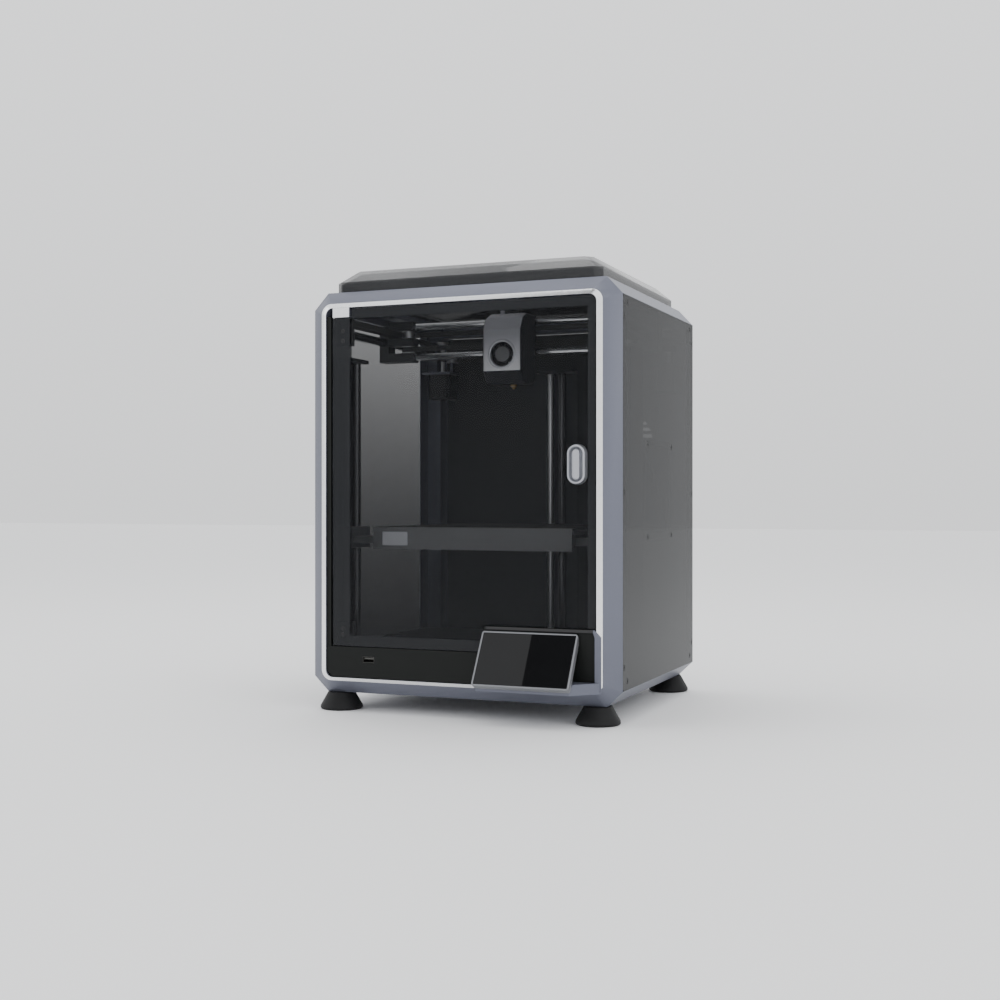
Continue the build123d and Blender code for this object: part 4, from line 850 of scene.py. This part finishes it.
def fan_wheel(name, material):
    """Hub with a domed cap and pitched blades standing out from it, facing up."""
    fan = Recipe(name, {"Hub Radius": "Float", "Tip Radius": "Float", "Depth": "Float", "Blades": "Int",
                        "Blade Thickness": "Float", "Pitch": "Float"})
    hub, tip, deep, blades, thick, pitch = fan.size.values()
    barrel = fan.add("GeometryNodeMeshCylinder", None, {"Vertices": 40, "Radius": hub, "Depth": deep})
    cap = fan.add("GeometryNodeMeshCone", None, {
        "Vertices": 40, "Radius Bottom": hub * 0.96, "Radius Top": hub * 0.80, "Depth": deep * 0.14})
    lift = fan.add("ShaderNodeCombineXYZ", None, {"Z": deep * 0.5})
    cap = fan.add("GeometryNodeTransform", None, {"Geometry": cap, "Translation": lift})
    size = fan.add("ShaderNodeCombineXYZ", None, {"X": (tip - hub) * 1.06, "Y": thick, "Z": deep * 0.92})
    blade = fan.add("GeometryNodeMeshCube", None, {
        "Size": size, "Vertices X": 5, "Vertices Y": 2, "Vertices Z": 3})
    tilt = fan.add("FunctionNodeAxisAngleToRotation", None, {"Axis": (1.0, 0.0, 0.0), "Angle": pitch})
    blade = fan.add("GeometryNodeTransform", None, {"Geometry": blade, "Rotation": tilt})
    circle = fan.add("GeometryNodeMeshCircle", None, {"Vertices": blades, "Radius": (tip + hub) * 0.5})
    spoke = fan.add("GeometryNodeInputPosition")
    aim = fan.add("FunctionNodeAlignRotationToVector", {"axis": "X", "pivot_axis": "Z"}, {"Vector": spoke})
    row = fan.add("GeometryNodeInstanceOnPoints", None, {
        "Points": circle, "Instance": blade, "Rotation": aim})
    whole = fan.add("GeometryNodeJoinGeometry", None, {0: barrel})
    for part in (cap, row):
        fan.tree.links.new(part.socket, whole.socket.node.inputs[0])
    copies = fan.add("GeometryNodeInstanceOnPoints", None, {"Points": fan.base, "Instance": whole})
    fan.finish(copies, material)
    return fan


def placed(piece, matrix):
    """Moves the points of a finished piece, and leaves its object at the origin."""
    piece.data.transform(matrix)
    piece.data.update()
    return piece


one_point = [(0.0, 0.0, 0.0)]
to_front = Matrix.Rotation(math.radians(90), 4, "X")
fan_black = moulded("fan_black", (0.030, 0.030, 0.032), (0.042, 0.042, 0.044), 0.38)
fan_recipe = fan_wheel("fan_wheel", fan_black)
hot_fan = fan_recipe.make("hotend_fan_wheel", points("hot_fan_point", one_point, [(0, 0, 1)]), {
    "Hub Radius": 0.0088, "Tip Radius": 0.0127, "Depth": 0.0062, "Blades": 9, "Blade Thickness": 0.0007,
    "Pitch": math.radians(48)})
placed(hot_fan, Matrix.Translation(fan_at) @ to_front)
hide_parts("hotend_fan_rotor")
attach(hot_fan, "hotend_fan")

# the rotor's cap sits just inside the mouth and nearly fills it
cap_grey = moulded("fan_cap_grey", (0.115, 0.117, 0.124), (0.13, 0.132, 0.14), 0.4)
cap_steps = [(0.0088, -0.0080), (0.0088, -0.0022), (0.0084, -0.0016), (0.0072, -0.0013), (0.0040, -0.0011),
             (0.0012, -0.0010)]
fan_cap = stacked("hotend_fan_cap", [round_ring(fan_at, radius, hood_low.y - reach)
                                     for radius, reach in cap_steps], cap_grey)
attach(fan_cap, "hotend_fan")

dressed("extruder_motor", laminated, soften=0.0004)
dressed("part_fan_duct", black_moulding, soften=0.0004)
dressed("filament_lever", black_moulding, soften=0.0003)

# ---------------------------------------------------------------- hot end
# An aluminium cooler, the heat break, a heater block and a turned brass nozzle, hung under the
# carriage and behind the hood's chin.


hotend_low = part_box("hotend")[0]
dressed("hotend", turned("hotend_metal", (0.62, 0.60, 0.56)), soften=0.0002)
nozzle_at = Vector((0.003, 0.014, hotend_low.z))
nozzle_steps = [(0.0006, 0.0), (0.0008, 0.0), (0.0026, 0.0021), (0.0026, 0.0030), (0.0036, 0.0031),
                (0.0036, 0.0056)]


def turned_ring(middle, radius, height, count=36):
    """Points of a level circle at a height above a point."""
    return [(middle.x + radius * math.cos(math.tau * i / count),
             middle.y + radius * math.sin(math.tau * i / count),
             middle.z + height) for i in range(count)]


nozzle = stacked("brass_nozzle", [turned_ring(nozzle_at, radius, height + 0.0001)
                                  for radius, height in nozzle_steps],
                 brass_turned)
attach(nozzle, "toolhead")

# ---------------------------------------------------------------- exhaust fan
# An axial fan behind the vents of the back sheet: the same wheel at a larger size.
exhaust_low, exhaust_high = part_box("exhaust_fan_rotor")
exhaust_at = (exhaust_low + exhaust_high) / 2
exhaust_tip = (exhaust_high.z - exhaust_low.z) / 2
exhaust_wheel = fan_recipe.make("exhaust_fan_wheel", points("exhaust_fan_point", one_point, [(0, 0, 1)]), {
    "Hub Radius": 0.0150, "Tip Radius": exhaust_tip * 0.98, "Depth": 0.0090, "Blades": 7,
    "Blade Thickness": 0.0012, "Pitch": math.radians(35)})
placed(exhaust_wheel, Matrix.Translation(exhaust_at) @ to_front.inverted())
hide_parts("exhaust_fan_rotor")
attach(exhaust_wheel, "exhaust_fan")

# ---------------------------------------------------------------- lead screws
# Three rolled steel screws, four starts at an 8 mm lead, each with a belt pulley near its foot.


def thread_recipe(material):
    """A bar whose skin rises and falls with the turn and the height, as a rolled thread does."""
    bar = Recipe("rolled_thread", {"Radius": "Float", "Length": "Float", "Tooth": "Float", "Pitch": "Float",
                                   "Starts": "Int", "Rows": "Int"})
    radius, length, tooth, pitch, starts, rows = bar.size.values()
    core = bar.add("GeometryNodeMeshCylinder", None, {
        "Vertices": 24, "Side Segments": rows, "Radius": radius, "Depth": length})
    x, y, z = bar.split(bar.add("GeometryNodeInputPosition"))
    turn = x.work("ARCTAN2", y, x)
    phase = (z / pitch) * math.tau - turn * starts
    wave = phase.work("COSINE", phase) * 1.8
    wave = wave.work("MINIMUM", wave.work("MAXIMUM", wave, -1.0), 1.0)
    scale = 1.0 - (tooth / radius) * (0.5 - wave * 0.5)
    cut = bar.add("ShaderNodeCombineXYZ", None, {"X": x * scale, "Y": y * scale, "Z": z})
    core = bar.add("GeometryNodeSetPosition", None, {"Geometry": core, "Position": cut})
    copies = bar.add("GeometryNodeInstanceOnPoints", None, {"Points": bar.base, "Instance": core})
    bar.finish(copies, material)
    return bar


rolled_steel = turned("rolled_steel", (0.42, 0.42, 0.44), 0.22)
rolled_thread = thread_recipe(rolled_steel)
for side in ("left", "right", "rear"):
    low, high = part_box("z_screw_" + side)
    middle = (low + high) / 2
    thread_low, thread_high = 0.0675, high.z - 0.004
    thread = rolled_thread.make("thread_" + side, points("thread_point_" + side, one_point, [(0, 0, 1)]), {
        "Radius": 0.00402, "Length": thread_high - thread_low, "Tooth": 0.0007, "Pitch": 0.002,
        "Starts": 4, "Rows": int((thread_high - thread_low) / 0.0005)}, crease=80.0)
    placed(thread, Matrix.Translation((middle.x, middle.y, (thread_low + thread_high) / 2)))
    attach(thread, "z_screw_" + side + "_shaft")

# ---------------------------------------------------------------- belts
# Fibre-backed rubber belts, shown as plain bands: two crossed loops round the chamber's top drive
# the head, and one under the floor turns the lead screws.


def belt_rubber():
    rubber = Finish("belt_rubber")
    weave = rubber.stretched(1400, (1.0, 1.0, 0.25))
    return rubber.shade(Base_Color=rubber.blend(weave, (0.011, 0.011, 0.011, 1), (0.022, 0.022, 0.021, 1)),
                        Roughness=0.55 + weave * 0.15, Normal=rubber.bump(weave, 0.00002, 0.4))


belt_black = belt_rubber()
for belt in ("frame_belts", "belt_y_spans", "belt_x_spans"):
    dressed(belt, belt_black, soften=0.0)
dressed("electronics_boards", black_moulding, soften=0.0002)
